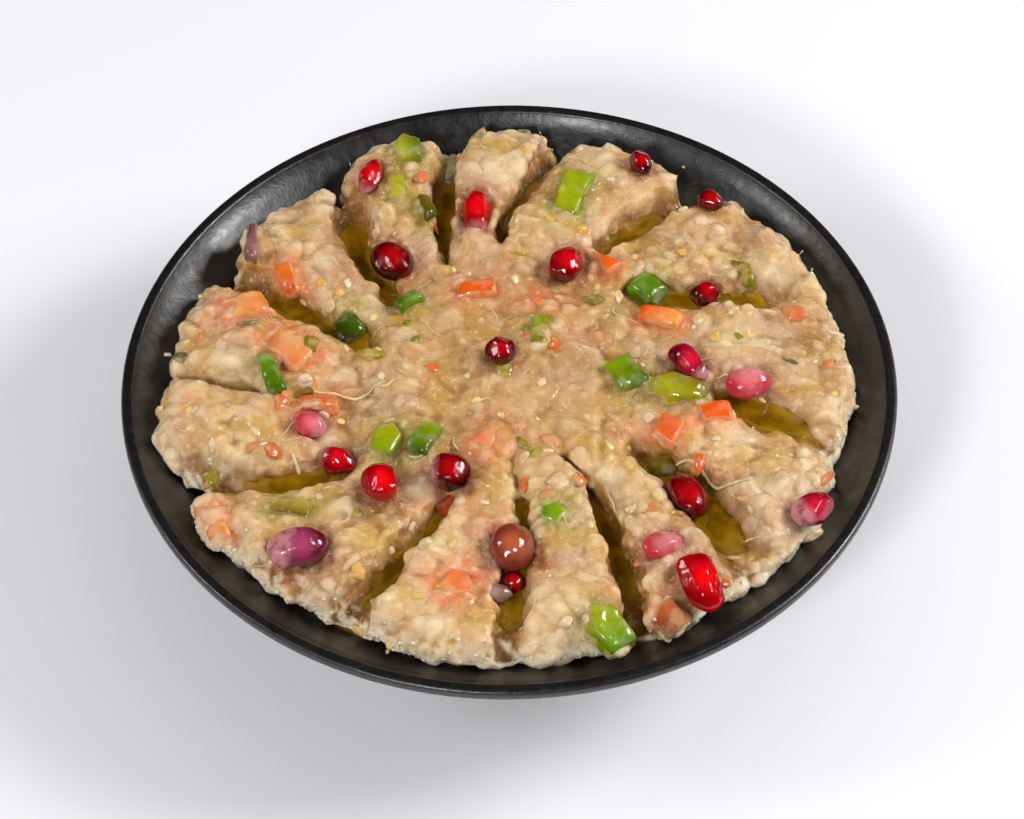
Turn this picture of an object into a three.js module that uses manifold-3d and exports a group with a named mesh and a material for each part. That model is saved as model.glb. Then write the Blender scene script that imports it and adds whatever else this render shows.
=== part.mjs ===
// Baba ganoush in its black bowl. The dip is a mound pressed into lobes that run out from a hub,
// with furrows between them, oil standing in the furrows, and pomegranate seeds and bits of green
// pepper, tomato and onion lying on it and half sunk in it.
// Millimetres, +Z up. The origin is the centre of the bowl's foot, on the table.
// A place on the dip is [radius, angle] about the hub, in degrees anticlockwise from +X, seen from above.

import * as THREE from 'three';
import { mergeVertices } from 'three/addons/utils/BufferGeometryUtils.js';
import { ParametricGeometry } from 'three/addons/geometries/ParametricGeometry.js';
import Module from 'manifold-3d';

const wasm = await Module();
wasm.setup();

// Bowl
const rimRadius = 85;
const bowlHeight = 40;
const lipWidth = 2.8;
const lipRounding = 0.9;
const lipDepth = 0.9; // the upright outer face of the lip, above the wall's outside
const wallThickness = 3;
const wallSlope = THREE.MathUtils.degToRad(35);
const floorHeight = 6;
const bendRadius = 40; // between the level floor and the sloping wall
const footRadius = 37;
const footWidth = 4;
const footHeight = 4.6;
const recessHeight = 2.4; // the hollow under the foot
const bowlSegments = 44;
const midWall = 60; // a radius part of the way up the wall, where its outline has a point

// Dip
const hubPlace = [0, -2.1]; // the lobes run out from a point just in front of the bowl's centre
const clearance = 0.4; // between the dip and the bowl
const pieceGap = 0.3; // between the dip and what is sunk in it
const crestRise = 2.6; // the lobes' tops above the bowl's rim
const hubRise = 2.2; // the hub above the lobes
const hubRadius = 19;
const moatRadius = 34; // the shallow ring round the hub's left side
const moatWidth = 6;
const moatDepth = 2.4;
const moatFrom = 105;
const moatTo = 225;
const shoulderWidth = 9; // where a lobe's top rounds down to its outer edge
const edgeRaggedness = 0.8;
const lumpHeight = 1.1;
const bulge = 1.6; // how far a lobe's side stands out past its edge and its foot
const crownColumns = 3; // columns of points across a lobe's crown, between two furrow walls
const undersideRings = [0, 0.31, 0.45, 0.58, 0.8, 1];
const topRings = [0.985, 0.925, 0.855, 0.785, 0.715, 0.645, 0.575, 0.51, 0.445, 0.38, 0.31, 0.23, 0.13, 0];

// Furrows, anticlockwise. route: places on the centre line from its inner end outwards.
// width: full width at the inner and the outer end. depth: below the lobes' tops.
// reach: the dip's edge at the furrow's mouth. closedAt: where a furrow ends before the edge.
// lobe: the next lobe anticlockwise, as how far out its edge stands and how far that is below its top.
const furrows = [
  { route: [[38, 42], [51, 28.5], [62, 23]], width: [10, 11],
    depth: 7.5, reach: 75, closedAt: 66, lobe: [76.3, 1] },
  { route: [[42, 64], [65, 55], [75, 53]], width: [5, 10], depth: 9, reach: 69, lobe: [76, 1.2] },
  { route: [[42, 93], [69, 82], [76, 80]], width: [4, 9], depth: 11, reach: 73, lobe: [78.8, 0.4] },
  { route: [[38, 111], [75, 99]], width: [4, 9], depth: 10.5, reach: 72, lobe: [79.5, 0.4] },
  { route: [[36, 135], [50, 130], [69, 123]], width: [6, 10], depth: 9.5, reach: 69, lobe: [76.5, 1.5] },
  { route: [[33, 160], [48, 154], [68, 152]], width: [9, 9], depth: 7.5, reach: 69, lobe: [76.8, 2.5] },
  { route: [[35, 187], [55, 182], [71, 178]], width: [3.5, 5], depth: 5, reach: 75, lobe: [77.8, 2.5] },
  { route: [[43, 214], [57, 208], [71, 199]], width: [6, 12], depth: 7.5, reach: 65.5, lobe: [74.8, 3.4] },
  { route: [[35, 249], [56, 243], [76, 240]], width: [5, 11], depth: 9, reach: 70.5, lobe: [75, 3.8] },
  { route: [[23, 272], [32, 275], [51, 271], [71, 269]], width: [3.5, 8],
    depth: 7, reach: 72.5, lobe: [74, 3.8] },
  { route: [[26, 299], [37, 300], [65, 293], [76, 291]], width: [4, 10],
    depth: 10, reach: 70, lobe: [74.5, 3.4] },
  { route: [[33, 324], [55, 320], [72, 314]], width: [10, 16],
    depth: 8, reach: 74, closedAt: 70, lobe: [75.6, 3] },
  { route: [[43, 354], [66, 347], [74, 344]], width: [7, 12], depth: 6.5, reach: 71, lobe: [76.3, 2.6] },
];
const floorShare = 0.3; // a furrow's level floor, as a share of its width
const mostOfLobe = 0.4; // a furrow's wall never reaches further across a lobe than this share of it
const innerFade = 7; // the length over which a furrow's inner end runs out
const mouthRise = 3; // how much shallower a furrow gets over its last stretch

// Furrows that hold a pool of oil: which furrow, how high above its floor the oil stands, and its two ends.
const pools = [
  { name: 'oil_pool_right', furrow: 11, level: 3.2, from: 36, to: 68 },
  { name: 'oil_pool_back', furrow: 0, level: 3.8, from: 40, to: 63 },
  { name: 'oil_pool_left', furrow: 5, level: 3.2, from: 32, to: 54 },
];

// Pomegranate seeds and what is shaped like them. size: length, width, height. turn: the long axis, in
// degrees from +X. sunk: the share of the height below the dip's surface. level: the height of the centre
// above the table, for what lies on a furrow's oil or bridges it.
const red = 0xb50d1e;
const brightRed = 0xdc0f1f;
const darkRed = 0x6d0812;
const magenta = 0xa8123f;
const pink = 0xdd5a6a;
const purple = 0x8a2a55;
const seeds = [
  { place: [68.2, 117.3], size: [9.5, 5.5, 5], turn: 75, sunk: 0.45, color: brightRed },
  { place: [44.3, 126.1], size: [10.5, 9, 8], turn: 130, level: 40.8, color: darkRed },
  { place: [50, 98], size: [13, 7.5, 6.5], turn: 88, sunk: 0.45, color: red },
  { place: [33.8, 67], size: [9.5, 8, 7], turn: 70, sunk: 0.3, color: red },
  { place: [70.3, 63.8], size: [6.5, 5, 5], turn: 115, sunk: 0.3, color: darkRed },
  { place: [69.2, 47.8], size: [6, 5, 5], turn: 150, sunk: 0.4, color: darkRed },
  { place: [4, 115.8], size: [6.8, 6.5, 6.5], turn: 20, sunk: 0.3, color: red },
  { place: [39.2, 1.8], size: [10.6, 6.8, 6.4], turn: 128, sunk: 0.3, color: magenta },
  { place: [52, 356], size: [10, 7, 6.5], turn: 5, sunk: 0.3, color: pink },
  { place: [51.3, 30.3], size: [7, 6, 6], turn: 20, level: 39.6, color: darkRed },
  { place: [41.9, 229.1], size: [9, 8, 7], turn: 115, sunk: 0.25, color: brightRed },
  { place: [43.1, 210.9], size: [8, 7, 6.5], turn: 150, level: 40.9, color: red },
  { place: [45, 197], size: [7, 6, 5.5], turn: 150, sunk: 0.45, color: pink },
  { place: [31.3, 246.1], size: [9.5, 8.5, 7.5], turn: 120, sunk: 0.3, color: darkRed },
  { place: [65.2, 227.1], size: [12.5, 10, 8], turn: 15, sunk: 0.4, color: purple },
  { place: [46.9, 270.1], size: [9.8, 9.6, 9.6], turn: 90, level: 41.7, color: 0x9a4a34 },
  { place: [53.3, 270.4], size: [5.8, 5.8, 5.2], turn: 90, level: 37.4, color: darkRed },
  { place: [49.4, 317], size: [11.5, 9, 8], turn: 115, sunk: 0.1, color: darkRed },
  { place: [57.1, 303.4], size: [8.5, 6.5, 5], turn: 20, sunk: 0.6, color: pink },
  { place: [69.7, 303.8], size: [13, 10, 8], turn: 115, sunk: 0.3, color: brightRed },
  { place: [74, 329.1], size: [10, 7.5, 6.5], turn: 35, sunk: 0.25, color: magenta },
];

// Pieces of pepper, tomato and onion. size: length, width, thickness. corners: of the outline, four
// where none are given.
const green = 0x4f8a10;
const lime = 0x8ea812;
const deepGreen = 0x2f5a10;
const orange = 0xd66a30;
const salmon = 0xdc8a66;
const cornerReach = 0.56; // of the length and width, from a piece's middle to its corners
const squareReach = 1.25; // how much further four corners reach, and
const triangleReach = 1.07; // three
const cornerUnevenness = 0.12;
const edgeBevel = 0.7;
const slopeReach = 2.5; // how far round a place its slope is measured
const uprightShare = 0.45; // how far a piece is turned back upright from that slope
const pieces = {
  pepper_tip: { place: [72.7, 108.3], size: [8.5, 7, 4], turn: 105, corners: 5, sunk: 0.5, color: lime },
  pepper_slit: { place: [53.6, 110.3], size: [7.5, 3, 3.5], turn: 112, sunk: 0.4, color: deepGreen },
  pepper_lobe: { place: [55.9, 74.8], size: [13, 6.5, 3.5], turn: 70, sunk: 0.6, color: lime },
  pepper_left: { place: [40, 153.9], size: [7, 6, 5], turn: 120, level: 38.7, color: deepGreen },
  pepper_upper: { place: [31.8, 134.7], size: [6, 3.8, 4], turn: 35, sunk: 0.35, color: deepGreen },
  pepper_stick: { place: [52.1, 178.4], size: [11.5, 4, 4], turn: 112, sunk: 0.3, color: green },
  pepper_bright: { place: [32, 214.6], size: [9, 7, 5], turn: 70, corners: 5, sunk: 0.45, color: lime },
  pepper_cut: { place: [25.8, 225.7], size: [9, 5, 4.5], turn: 65, sunk: 0.35, color: green },
  pepper_hub: { place: [12.3, 55.3], size: [9, 4, 3.5], turn: 85, sunk: 0.45, color: green },
  pepper_cube: { place: [25, 359], size: [8.7, 6.8, 5.5], turn: 118, sunk: 0.4, color: green },
  pepper_lime: { place: [38.1, 351.5], size: [13, 6.5, 5], turn: 165, corners: 5, sunk: 0.45, color: lime },
  pepper_back: { place: [41.5, 40.9], size: [7.5, 6, 4.5], turn: 140, level: 39.5, color: green },
  pepper_round: { place: [39.9, 282.9], size: [6, 6, 4], turn: 0, corners: 5, sunk: 0.55, color: green },
  pepper_front: { place: [70.4, 285.9], size: [11, 9, 6], turn: 130, corners: 5, sunk: 0.3, color: green },
  pepper_pale: { place: [62.6, 113.8], size: [7, 4.2, 3], turn: 100, sunk: 0.7, color: lime },
  pepper_pool: { place: [39.8, 324.5], size: [5.5, 4.5, 3.5], turn: 20, level: 37.4, color: deepGreen },
  pepper_olive: { place: [58.8, 216.8], size: [10, 4.5, 3.5], turn: 168, sunk: 0.65, color: lime },
  tomato_left: { place: [62.9, 160.1], size: [10, 6.5, 4.5], turn: 18, sunk: 0.6, color: orange },
  tomato_pink: { place: [48.8, 168.9], size: [13, 9, 4], turn: 125, corners: 5, sunk: 0.68, color: salmon },
  tomato_stick: { place: [42.4, 189.7], size: [8.5, 4.5, 4], turn: 5, sunk: 0.45, color: orange },
  tomato_upper: { place: [26.7, 104.8], size: [9, 4, 3.5], turn: 5, sunk: 0.65, color: orange },
  tomato_hub: { place: [21.4, 66.8], size: [8, 5, 3.5], turn: 150, corners: 3, sunk: 0.65, color: orange },
  tomato_back: { place: [40.3, 56.5], size: [9.5, 5, 4], turn: 132, corners: 3, sunk: 0.6, color: salmon },
  tomato_wedge: { place: [46.2, 344.9], size: [7.5, 5.5, 4.5], turn: 10, sunk: 0.5, color: orange },
  tomato_inner: { place: [37.7, 334.2], size: [7.5, 6, 4], turn: 60, sunk: 0.5, color: salmon },
  tomato_front: {
    place: [19.5, 256.2], size: [11.5, 6, 4], turn: 50, corners: 3, sunk: 0.65, color: salmon,
  },
  tomato_edge: { place: [73.2, 210.4], size: [11.5, 5.5, 5], turn: 110, sunk: 0.4, color: orange },
  tomato_lobe: {
    place: [57.9, 258.7], size: [8.5, 7, 3.5], turn: 40, corners: 5, sunk: 0.7, color: salmon,
  },
  tomato_slope: { place: [57.3, 149], size: [8, 4, 3.5], turn: 109, sunk: 0.55, color: orange },
  tomato_groove: { place: [35, 248], size: [6, 4.5, 4], turn: 60, level: 38.6, color: orange },
  tomato_bottom: { place: [72.3, 296.6], size: [7, 6.5, 4.5], turn: 40, sunk: 0.6, color: salmon },
  carrot_back: { place: [37.5, 27.2], size: [10.5, 4.5, 3.5], turn: 160, sunk: 0.55, color: orange },
  onion_oval: {
    place: [57.8, 266.6], size: [7, 3.6, 3.4], turn: 175, corners: 6, level: 39.6, color: purple,
  },
  onion_strip: { place: [70.5, 145.2], size: [11, 3, 4], turn: 88, sunk: 0.3, color: purple },
};

function rounded(t) {
  const u = THREE.MathUtils.clamp(t, 0, 1);
  return u * u * (3 - 2 * u);
}

function fromPolar([radius, angle]) {
  const a = THREE.MathUtils.degToRad(angle);
  return new THREE.Vector2(hubPlace[0] + radius * Math.cos(a), hubPlace[1] + radius * Math.sin(a));
}

function alongList(pairs, radius) {
  if (radius <= pairs[0][0]) return pairs[0][1];
  for (let i = 1; i < pairs.length; i++) {
    const [r0, v0] = pairs[i - 1];
    const [r1, v1] = pairs[i];
    if (radius <= r1) return THREE.MathUtils.lerp(v0, v1, (radius - r0) / (r1 - r0));
  }
  return pairs.at(-1)[1];
}

// A smooth uneven height between -1 and 1 that changes over about `scale` millimetres.
function unevenness(x, y, scale, seed) {
  const hash = (i, j) => {
    const s = Math.sin(i * 127.1 + j * 311.7 + seed * 74.7) * 43758.5453;
    return 2 * (s - Math.floor(s)) - 1;
  };
  const i = Math.floor(x / scale);
  const j = Math.floor(y / scale);
  const u = rounded(x / scale - i);
  const v = rounded(y / scale - j);
  const near = THREE.MathUtils.lerp(hash(i, j), hash(i + 1, j), u);
  const far = THREE.MathUtils.lerp(hash(i, j + 1), hash(i + 1, j + 1), u);
  return THREE.MathUtils.lerp(near, far, v);
}

// Bowl ------------------------------------------------------------------------------------------

const innerRim = rimRadius - lipWidth;
const innerRimHeight = bowlHeight - lipRounding;
const wallFoot = innerRim - (innerRimHeight - floorHeight) / Math.tan(wallSlope);
const bendStart = wallFoot - bendRadius * Math.tan(wallSlope / 2);
const bendEnd = bendStart + bendRadius * Math.sin(wallSlope);

function insideHeight(radius) {
  if (radius <= bendStart) return floorHeight;
  if (radius >= bendEnd) return floorHeight + (radius - wallFoot) * Math.tan(wallSlope);
  return floorHeight + bendRadius - Math.sqrt(bendRadius ** 2 - (radius - bendStart) ** 2);
}

function makeBowl() {
  const drop = wallThickness / Math.cos(wallSlope);
  const outsideHeight = (radius) => insideHeight(radius) - drop;
  const outline = [[0, recessHeight], [footRadius - footWidth - 0.8, recessHeight]];
  outline.push([footRadius - footWidth, 0.6], [footRadius - footWidth + 0.6, 0]);
  outline.push([footRadius - 0.7, 0], [footRadius, 0.7], [footRadius + 0.4, footHeight]);
  for (const radius of [footRadius + 6, midWall, rimRadius - 1.2]) {
    outline.push([radius, outsideHeight(radius)]);
  }
  outline.push([rimRadius, outsideHeight(rimRadius) + lipDepth], [rimRadius, innerRimHeight]);
  outline.push([rimRadius - 0.35 * lipRounding, bowlHeight - 0.3 * lipRounding]);
  outline.push([rimRadius - lipRounding, bowlHeight], [innerRim + 0.6 * lipRounding, bowlHeight]);
  outline.push([innerRim, innerRimHeight], [midWall, insideHeight(midWall)]);
  for (let k = 5; k >= 0; k--) {
    const radius = bendStart + bendRadius * Math.sin((wallSlope * k) / 5);
    outline.push([radius, insideHeight(radius)]);
  }
  outline.push([0, floorHeight]);
  const profile = outline.map(([radius, height]) => new THREE.Vector2(radius, height));
  return new THREE.LatheGeometry(profile, bowlSegments).rotateX(Math.PI / 2);
}

// Dip -------------------------------------------------------------------------------------------

const columnsInLobe = crownColumns + 4;

function angleBetween(a, b) {
  return THREE.MathUtils.euclideanModulo(a - b + 180, 360) - 180;
}

function furrowAngle(furrow, radius) {
  return alongList(furrow.route, radius);
}

function furrowWidth(furrow, radius) {
  const first = furrow.route[0][0];
  const last = furrow.route.at(-1)[0];
  return THREE.MathUtils.lerp(furrow.width[0], furrow.width[1], rounded((radius - first) / (last - first)));
}

// How deep a furrow is cut at a place, below the lobes' tops.
function furrowDepth(furrow, radius, angle) {
  const inner = rounded((radius - furrow.route[0][0] + innerFade / 2) / innerFade);
  const end = furrow.closedAt ?? furrow.reach;
  const outer = furrow.closedAt ? 1 - rounded((radius - end) / innerFade) : 1;
  const mouth = mouthRise * rounded((radius - end + 14) / 14);
  const aside = Math.abs(angleBetween(angle, furrowAngle(furrow, radius))) * (Math.PI / 180) * radius;
  const half = furrowWidth(furrow, radius) / 2;
  const up = THREE.MathUtils.clamp((aside - floorShare * half) / (half * (1 - floorShare)), 0, 1);
  const wall = 1 - THREE.MathUtils.lerp(up, rounded(up), 0.4);
  return (furrow.depth - mouth) * inner * outer * wall;
}

// The dip's edge at an angle, with plump lobes between the furrows' mouths: its radius, and its drop
// below the top.
function edgeAt(angle) {
  for (let i = 0; i < furrows.length; i++) {
    const from = furrows[i];
    const to = furrows[(i + 1) % furrows.length];
    const start = furrowAngle(from, from.reach);
    const span = THREE.MathUtils.euclideanModulo(furrowAngle(to, to.reach) - start, 360);
    const past = THREE.MathUtils.euclideanModulo(angle - start, 360);
    if (past > span) continue;
    const share = past / span;
    const mouth = THREE.MathUtils.lerp(from.reach, to.reach, share);
    const plump = Math.sin(Math.PI * share) ** 0.55;
    const { x, y } = fromPolar([76, angle]);
    const ragged = edgeRaggedness * unevenness(x, y, 7, 5);
    const [lobeReach, drop] = from.lobe;
    return { radius: THREE.MathUtils.lerp(mouth, lobeReach, plump) + ragged, drop };
  }
}

function topHeight(radius, angle) {
  const { x, y } = fromPolar([radius, angle]);
  const { radius: edge, drop } = edgeAt(angle);
  const hub = hubRise * Math.exp(-((radius / hubRadius) ** 2));
  const aroundMoat = rounded((angle - moatFrom) / 20) * rounded((moatTo - angle) / 20);
  const moat = moatDepth * aroundMoat * Math.exp(-(((radius - moatRadius) / moatWidth) ** 2));
  const shoulder = drop * rounded((radius - edge + shoulderWidth) / shoulderWidth) ** 2;
  const cut = Math.max(...furrows.map((furrow) => furrowDepth(furrow, radius, angle)));
  const lumps = lumpHeight * (unevenness(x, y, 13, 1) + 0.6 * unevenness(x, y, 7, 2));
  const calm = 1 - rounded(cut / 6);
  const height = bowlHeight + crestRise + hub - moat - shoulder - cut + lumps * (0.25 + 0.75 * calm);
  return Math.max(height, insideHeight(Math.hypot(x, y)) + clearance + 1.2);
}

// The angle of a column of points. In each lobe one column follows the furrow's centre line, two its floor's
// edge and its wall's top, some cross the crown, and two follow the next furrow's wall.
function columnAngle(u, radius) {
  const column = Math.round(u * furrows.length * columnsInLobe);
  const lobe = Math.floor(column / columnsInLobe) % furrows.length;
  const [from, to] = [furrows[lobe], furrows[(lobe + 1) % furrows.length]];
  const start = furrowAngle(from, radius);
  const span = THREE.MathUtils.euclideanModulo(furrowAngle(to, radius) - start, 360);
  const reach = Math.max(radius, 1) * (Math.PI / 180) * span;
  const shareOf = (furrow) => Math.min(furrowWidth(furrow, radius) / 2 / reach, mostOfLobe);
  const [near, far] = [shareOf(from), shareOf(to)];
  const steps = [0, floorShare * near, near];
  for (let k = 1; k < crownColumns; k++) steps.push(THREE.MathUtils.lerp(near, 1 - far, k / crownColumns));
  steps.push(1 - far, 1 - floorShare * far);
  return start + steps[column % columnsInLobe] * span;
}

function makeDip() {
  const stacks = undersideRings.length + topRings.length;
  const point = (u, v, target) => {
    const ring = Math.round(v * stacks);
    const onTop = ring > undersideRings.length;
    const share = onTop ? topRings[ring - undersideRings.length - 1] : undersideRings[ring] ?? 1;
    const edge = edgeAt(columnAngle(u, 72)).radius;
    let radius = share * edge;
    if (!onTop) radius = share * (edge - bulge);
    if (ring === undersideRings.length) radius = edge;
    const angle = columnAngle(u, radius);
    const { x, y } = fromPolar([radius, angle]);
    const underside = insideHeight(Math.hypot(x, y)) + clearance;
    if (onTop) return target.set(x, y, topHeight(radius, angle));
    if (ring < undersideRings.length) return target.set(x, y, underside);
    const brow = topHeight(0.985 * edge, angle);
    return target.set(x, y, Math.max(THREE.MathUtils.lerp(underside, brow, 0.55), underside + 0.7));
  };
  return new ParametricGeometry(point, furrows.length * columnsInLobe, stacks);
}

// What lies on the dip ------------------------------------------------------------------------------

// A pomegranate seed: blunt at one end, drawn in towards the other, with flattened sides.
function makeSeed([length, width, height]) {
  const steps = 5;
  const profile = [];
  for (let k = 0; k <= steps; k++) {
    const t = k / steps;
    const girth = Math.sin(Math.PI * t) ** 0.8 * (0.82 + 0.36 * t) * 0.5;
    profile.push(new THREE.Vector2(k % steps ? girth : 0, t - 0.5));
  }
  return new THREE.LatheGeometry(profile, 7).rotateZ(-Math.PI / 2).scale(length, width, height);
}

// A cut piece: an uneven outline with a few corners, thick, with its edges taken off.
function makePiece([length, width, thickness], corners, seed, grow) {
  const outline = new THREE.Shape();
  const reach = cornerReach * ({ 3: triangleReach, 4: squareReach }[corners] ?? 1);
  for (let k = 0; k < corners; k++) {
    const a = (2 * Math.PI * (k + (corners === 4 ? 0.5 : 0))) / corners;
    const uneven = 1 + cornerUnevenness * Math.sin(9.7 * seed + 4.3 * k);
    const x = reach * uneven * length * Math.cos(a);
    const y = reach * uneven * width * Math.sin(a);
    if (k) outline.lineTo(x, y);
    else outline.moveTo(x, y);
  }
  outline.closePath();
  const bevel = Math.min(edgeBevel, 0.2 * thickness);
  const body = new THREE.ExtrudeGeometry(outline, {
    depth: thickness - 2 * bevel,
    bevelThickness: bevel,
    bevelSize: bevel,
    bevelOffset: -bevel,
    bevelSegments: 1,
  });
  body.translate(0, 0, bevel - thickness / 2);
  return body.scale(1 + grow / length, 1 + grow / width, 1 + grow / thickness);
}

// Sets a shape on the dip at a place, turned, and laid along the slope there. A piece with a level has its
// centre at that height instead, on the oil or bridging a furrow, and lies flat.
function settle(geometry, { place: [radius, angle], size, turn, sunk = 0, level }) {
  const upright = new THREE.Vector3(0, 0, 1);
  const at = (dr, da) => {
    const flat = fromPolar([radius + dr, angle + da]);
    return new THREE.Vector3(flat.x, flat.y, topHeight(radius + dr, angle + da));
  };
  const step = THREE.MathUtils.radToDeg(slopeReach / Math.max(radius, 8));
  const across = at(0, step).sub(at(0, -step));
  const outwards = at(slopeReach, 0).sub(at(-slopeReach, 0));
  const up = outwards.cross(across).normalize();
  up.lerp(upright, level ? 1 : uprightShare).normalize();
  const lean = new THREE.Quaternion().setFromUnitVectors(upright, up);
  const centre = at(0, 0).addScaledVector(up, size[2] * (0.5 - sunk));
  if (level) centre.z = level;
  geometry.rotateZ(THREE.MathUtils.degToRad(turn));
  geometry.applyQuaternion(lean);
  return geometry.translate(centre.x, centre.y, centre.z);
}

// The oil in a furrow: level on top, from one side to the other, and down past the furrow's floor.
// It is cut to the dip's surface afterwards.
function makeOil({ furrow, level, from, to }) {
  const channel = furrows[furrow];
  const middle = (from + to) / 2;
  const surface = topHeight(middle, furrowAngle(channel, middle)) + level;
  const sides = 8;
  const lengths = 7;
  const point = (u, v, target) => {
    const ring = Math.round(v * (lengths + 2)) - 1;
    const capped = ring < 0 || ring > lengths;
    const along = THREE.MathUtils.clamp(ring / lengths, 0, 1);
    const radius = THREE.MathUtils.lerp(from, to, along);
    const half = 0.62 * furrowWidth(channel, radius) * Math.sin(Math.PI * (0.12 + 0.76 * along)) ** 0.5;
    const turn = 2 * Math.PI * u + Math.PI / sides;
    const aside = capped ? 0 : THREE.MathUtils.clamp(1.3 * Math.cos(turn), -1, 1) * half;
    const angle = furrowAngle(channel, radius) + (aside / radius) * (180 / Math.PI);
    const low = surface - level - 1;
    const high = Math.sin(turn) > 0.2 ? surface : low;
    const { x, y } = fromPolar([radius, angle]);
    return target.set(x, y, capped ? (surface + low) / 2 : high);
  };
  return new ParametricGeometry(point, sides, lengths + 2);
}

// Solids ----------------------------------------------------------------------------------------

function toSolid(geometry) {
  const bare = geometry.clone();
  bare.deleteAttribute('normal');
  bare.deleteAttribute('uv');
  const merged = mergeVertices(bare, 1e-3);
  return new wasm.Manifold(
    new wasm.Mesh({
      numProp: 3,
      vertProperties: merged.getAttribute('position').array,
      triVerts: new Uint32Array(merged.index.array),
    }),
  );
}

function toGeometry(solid) {
  const { vertProperties, triVerts } = solid.getMesh();
  const geometry = new THREE.BufferGeometry();
  geometry.setAttribute('position', new THREE.BufferAttribute(vertProperties, 3));
  geometry.setIndex(new THREE.BufferAttribute(triVerts, 1));
  geometry.computeVertexNormals();
  return geometry;
}

const babaGanoush = new THREE.Group();

function addNode(name, geometry, color, roughness) {
  const mesh = new THREE.Mesh(geometry, new THREE.MeshStandardMaterial({ color, roughness, metalness: 0 }));
  mesh.name = name;
  babaGanoush.add(mesh);
}

addNode('bowl', makeBowl(), 0x1a1716, 0.45);

let dip = toSolid(makeDip());
const cutters = [];
seeds.forEach((seed, index) => {
  const grown = seed.size.map((side) => side + 2 * pieceGap);
  cutters.push(toSolid(settle(makeSeed(grown), seed)));
  addNode(`aril_${String(index + 1).padStart(2, '0')}`, settle(makeSeed(seed.size), seed), seed.color, 0.15);
});
Object.entries(pieces).forEach(([name, piece], index) => {
  const { size, corners = 4, color } = piece;
  cutters.push(toSolid(settle(makePiece(size, corners, index, 2 * pieceGap), piece)));
  addNode(name, settle(makePiece(size, corners, index, 0), piece), color, 0.25);
});

const raised = dip.translate([0, 0, pieceGap]);
for (const pool of pools) {
  let oil = toSolid(makeOil(pool)).subtract(raised);
  for (const cutter of cutters) oil = oil.subtract(cutter);
  addNode(pool.name, toGeometry(oil), 0x8a6a12, 0.05);
}
for (const cutter of cutters) dip = dip.subtract(cutter);
addNode('dip', toGeometry(dip), 0xd4a872, 0.4);

export default babaGanoush;
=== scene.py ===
import bpy, bmesh, math, random
import numpy as np
from mathutils import Matrix, Vector, noise
from mathutils.bvhtree import BVHTree


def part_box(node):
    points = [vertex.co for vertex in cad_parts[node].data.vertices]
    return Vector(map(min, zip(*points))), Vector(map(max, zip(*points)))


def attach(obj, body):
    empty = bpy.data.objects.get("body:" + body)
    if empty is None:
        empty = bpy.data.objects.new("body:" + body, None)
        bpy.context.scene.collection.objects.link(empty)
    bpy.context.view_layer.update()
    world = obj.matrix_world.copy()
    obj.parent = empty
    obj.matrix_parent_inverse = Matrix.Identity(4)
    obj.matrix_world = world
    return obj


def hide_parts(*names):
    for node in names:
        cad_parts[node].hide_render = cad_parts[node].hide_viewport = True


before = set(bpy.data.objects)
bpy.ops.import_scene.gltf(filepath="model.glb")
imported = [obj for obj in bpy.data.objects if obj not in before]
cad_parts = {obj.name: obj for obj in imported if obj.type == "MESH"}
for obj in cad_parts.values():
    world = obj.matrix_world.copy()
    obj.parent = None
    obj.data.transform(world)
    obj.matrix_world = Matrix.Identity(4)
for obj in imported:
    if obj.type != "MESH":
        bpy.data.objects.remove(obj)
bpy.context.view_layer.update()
noise.seed_set(3)  # noise_vector is otherwise seeded by the clock
scene = bpy.context.scene

mm = 0.001
hubPlace = (0, -2.1)  # mm, the lobes run out from here, as in the CAD
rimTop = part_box("bowl")[1].z
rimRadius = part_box("bowl")[1].x


# camera, floor and lights

view = {
    "elevation": 49.79,  # degrees
    "distance": 0.700,  # m
    "lens": 113.17,
    "aim": (0.57, -9.67),  # mm, on the rim's level
    "roll": -0.724,  # degrees
}


def makeCamera():
    camData = bpy.data.cameras.new("viewCamera")
    camData.lens = view["lens"]
    camera = bpy.data.objects.new("viewCamera", camData)
    scene.collection.objects.link(camera)
    up = math.radians(view["elevation"])
    aim = Vector((view["aim"][0] * mm, view["aim"][1] * mm, rimTop))
    eye = aim + Vector((0, -math.cos(up), math.sin(up))) * view["distance"]
    turn = Matrix.Rotation(math.radians(90) - up, 4, "X")
    roll = Matrix.Rotation(math.radians(view["roll"]), 4, "Z")
    camera.matrix_world = Matrix.Translation(eye) @ turn @ roll
    scene.camera = camera


lighting = {  # direction, distance, size and power of each softbox
    "keyLight": ((0.80, 0.10, 0.60), 1.1, (0.42, 0.38), 10.0),
    "fillLight": ((-0.80, -0.05, 0.56), 1.1, (0.3, 0.3), 3.3),
    "frontLight": ((-0.30, -0.72, 0.62), 1.2, (0.2, 0.2), 6.4),
    "topLight": ((0.1, 0.35, 1), 1.4, (1.3, 1.3), 2.2),
}
room = {
    "sky": 0.24,
    "floorSize": 3,  # m
    "floorDrop": 0.0002,  # m, under the foot
    "floorColor": (0.85, 0.83, 0.865),
    "floorRoughness": 0.7,
}


def areaLight(name, direction, distance, size, power):
    lightData = bpy.data.lights.new(name, "AREA")
    lightData.energy = power
    lightData.shape = "RECTANGLE"
    lightData.size, lightData.size_y = size
    light = bpy.data.objects.new(name, lightData)
    scene.collection.objects.link(light)
    away = Vector(direction).normalized()
    light.location = away * distance
    light.rotation_euler = away.to_track_quat("Z", "Y").to_euler()
    light.visible_glossy = name != "topLight"  # it only fills, and is mirrored in nothing


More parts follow.
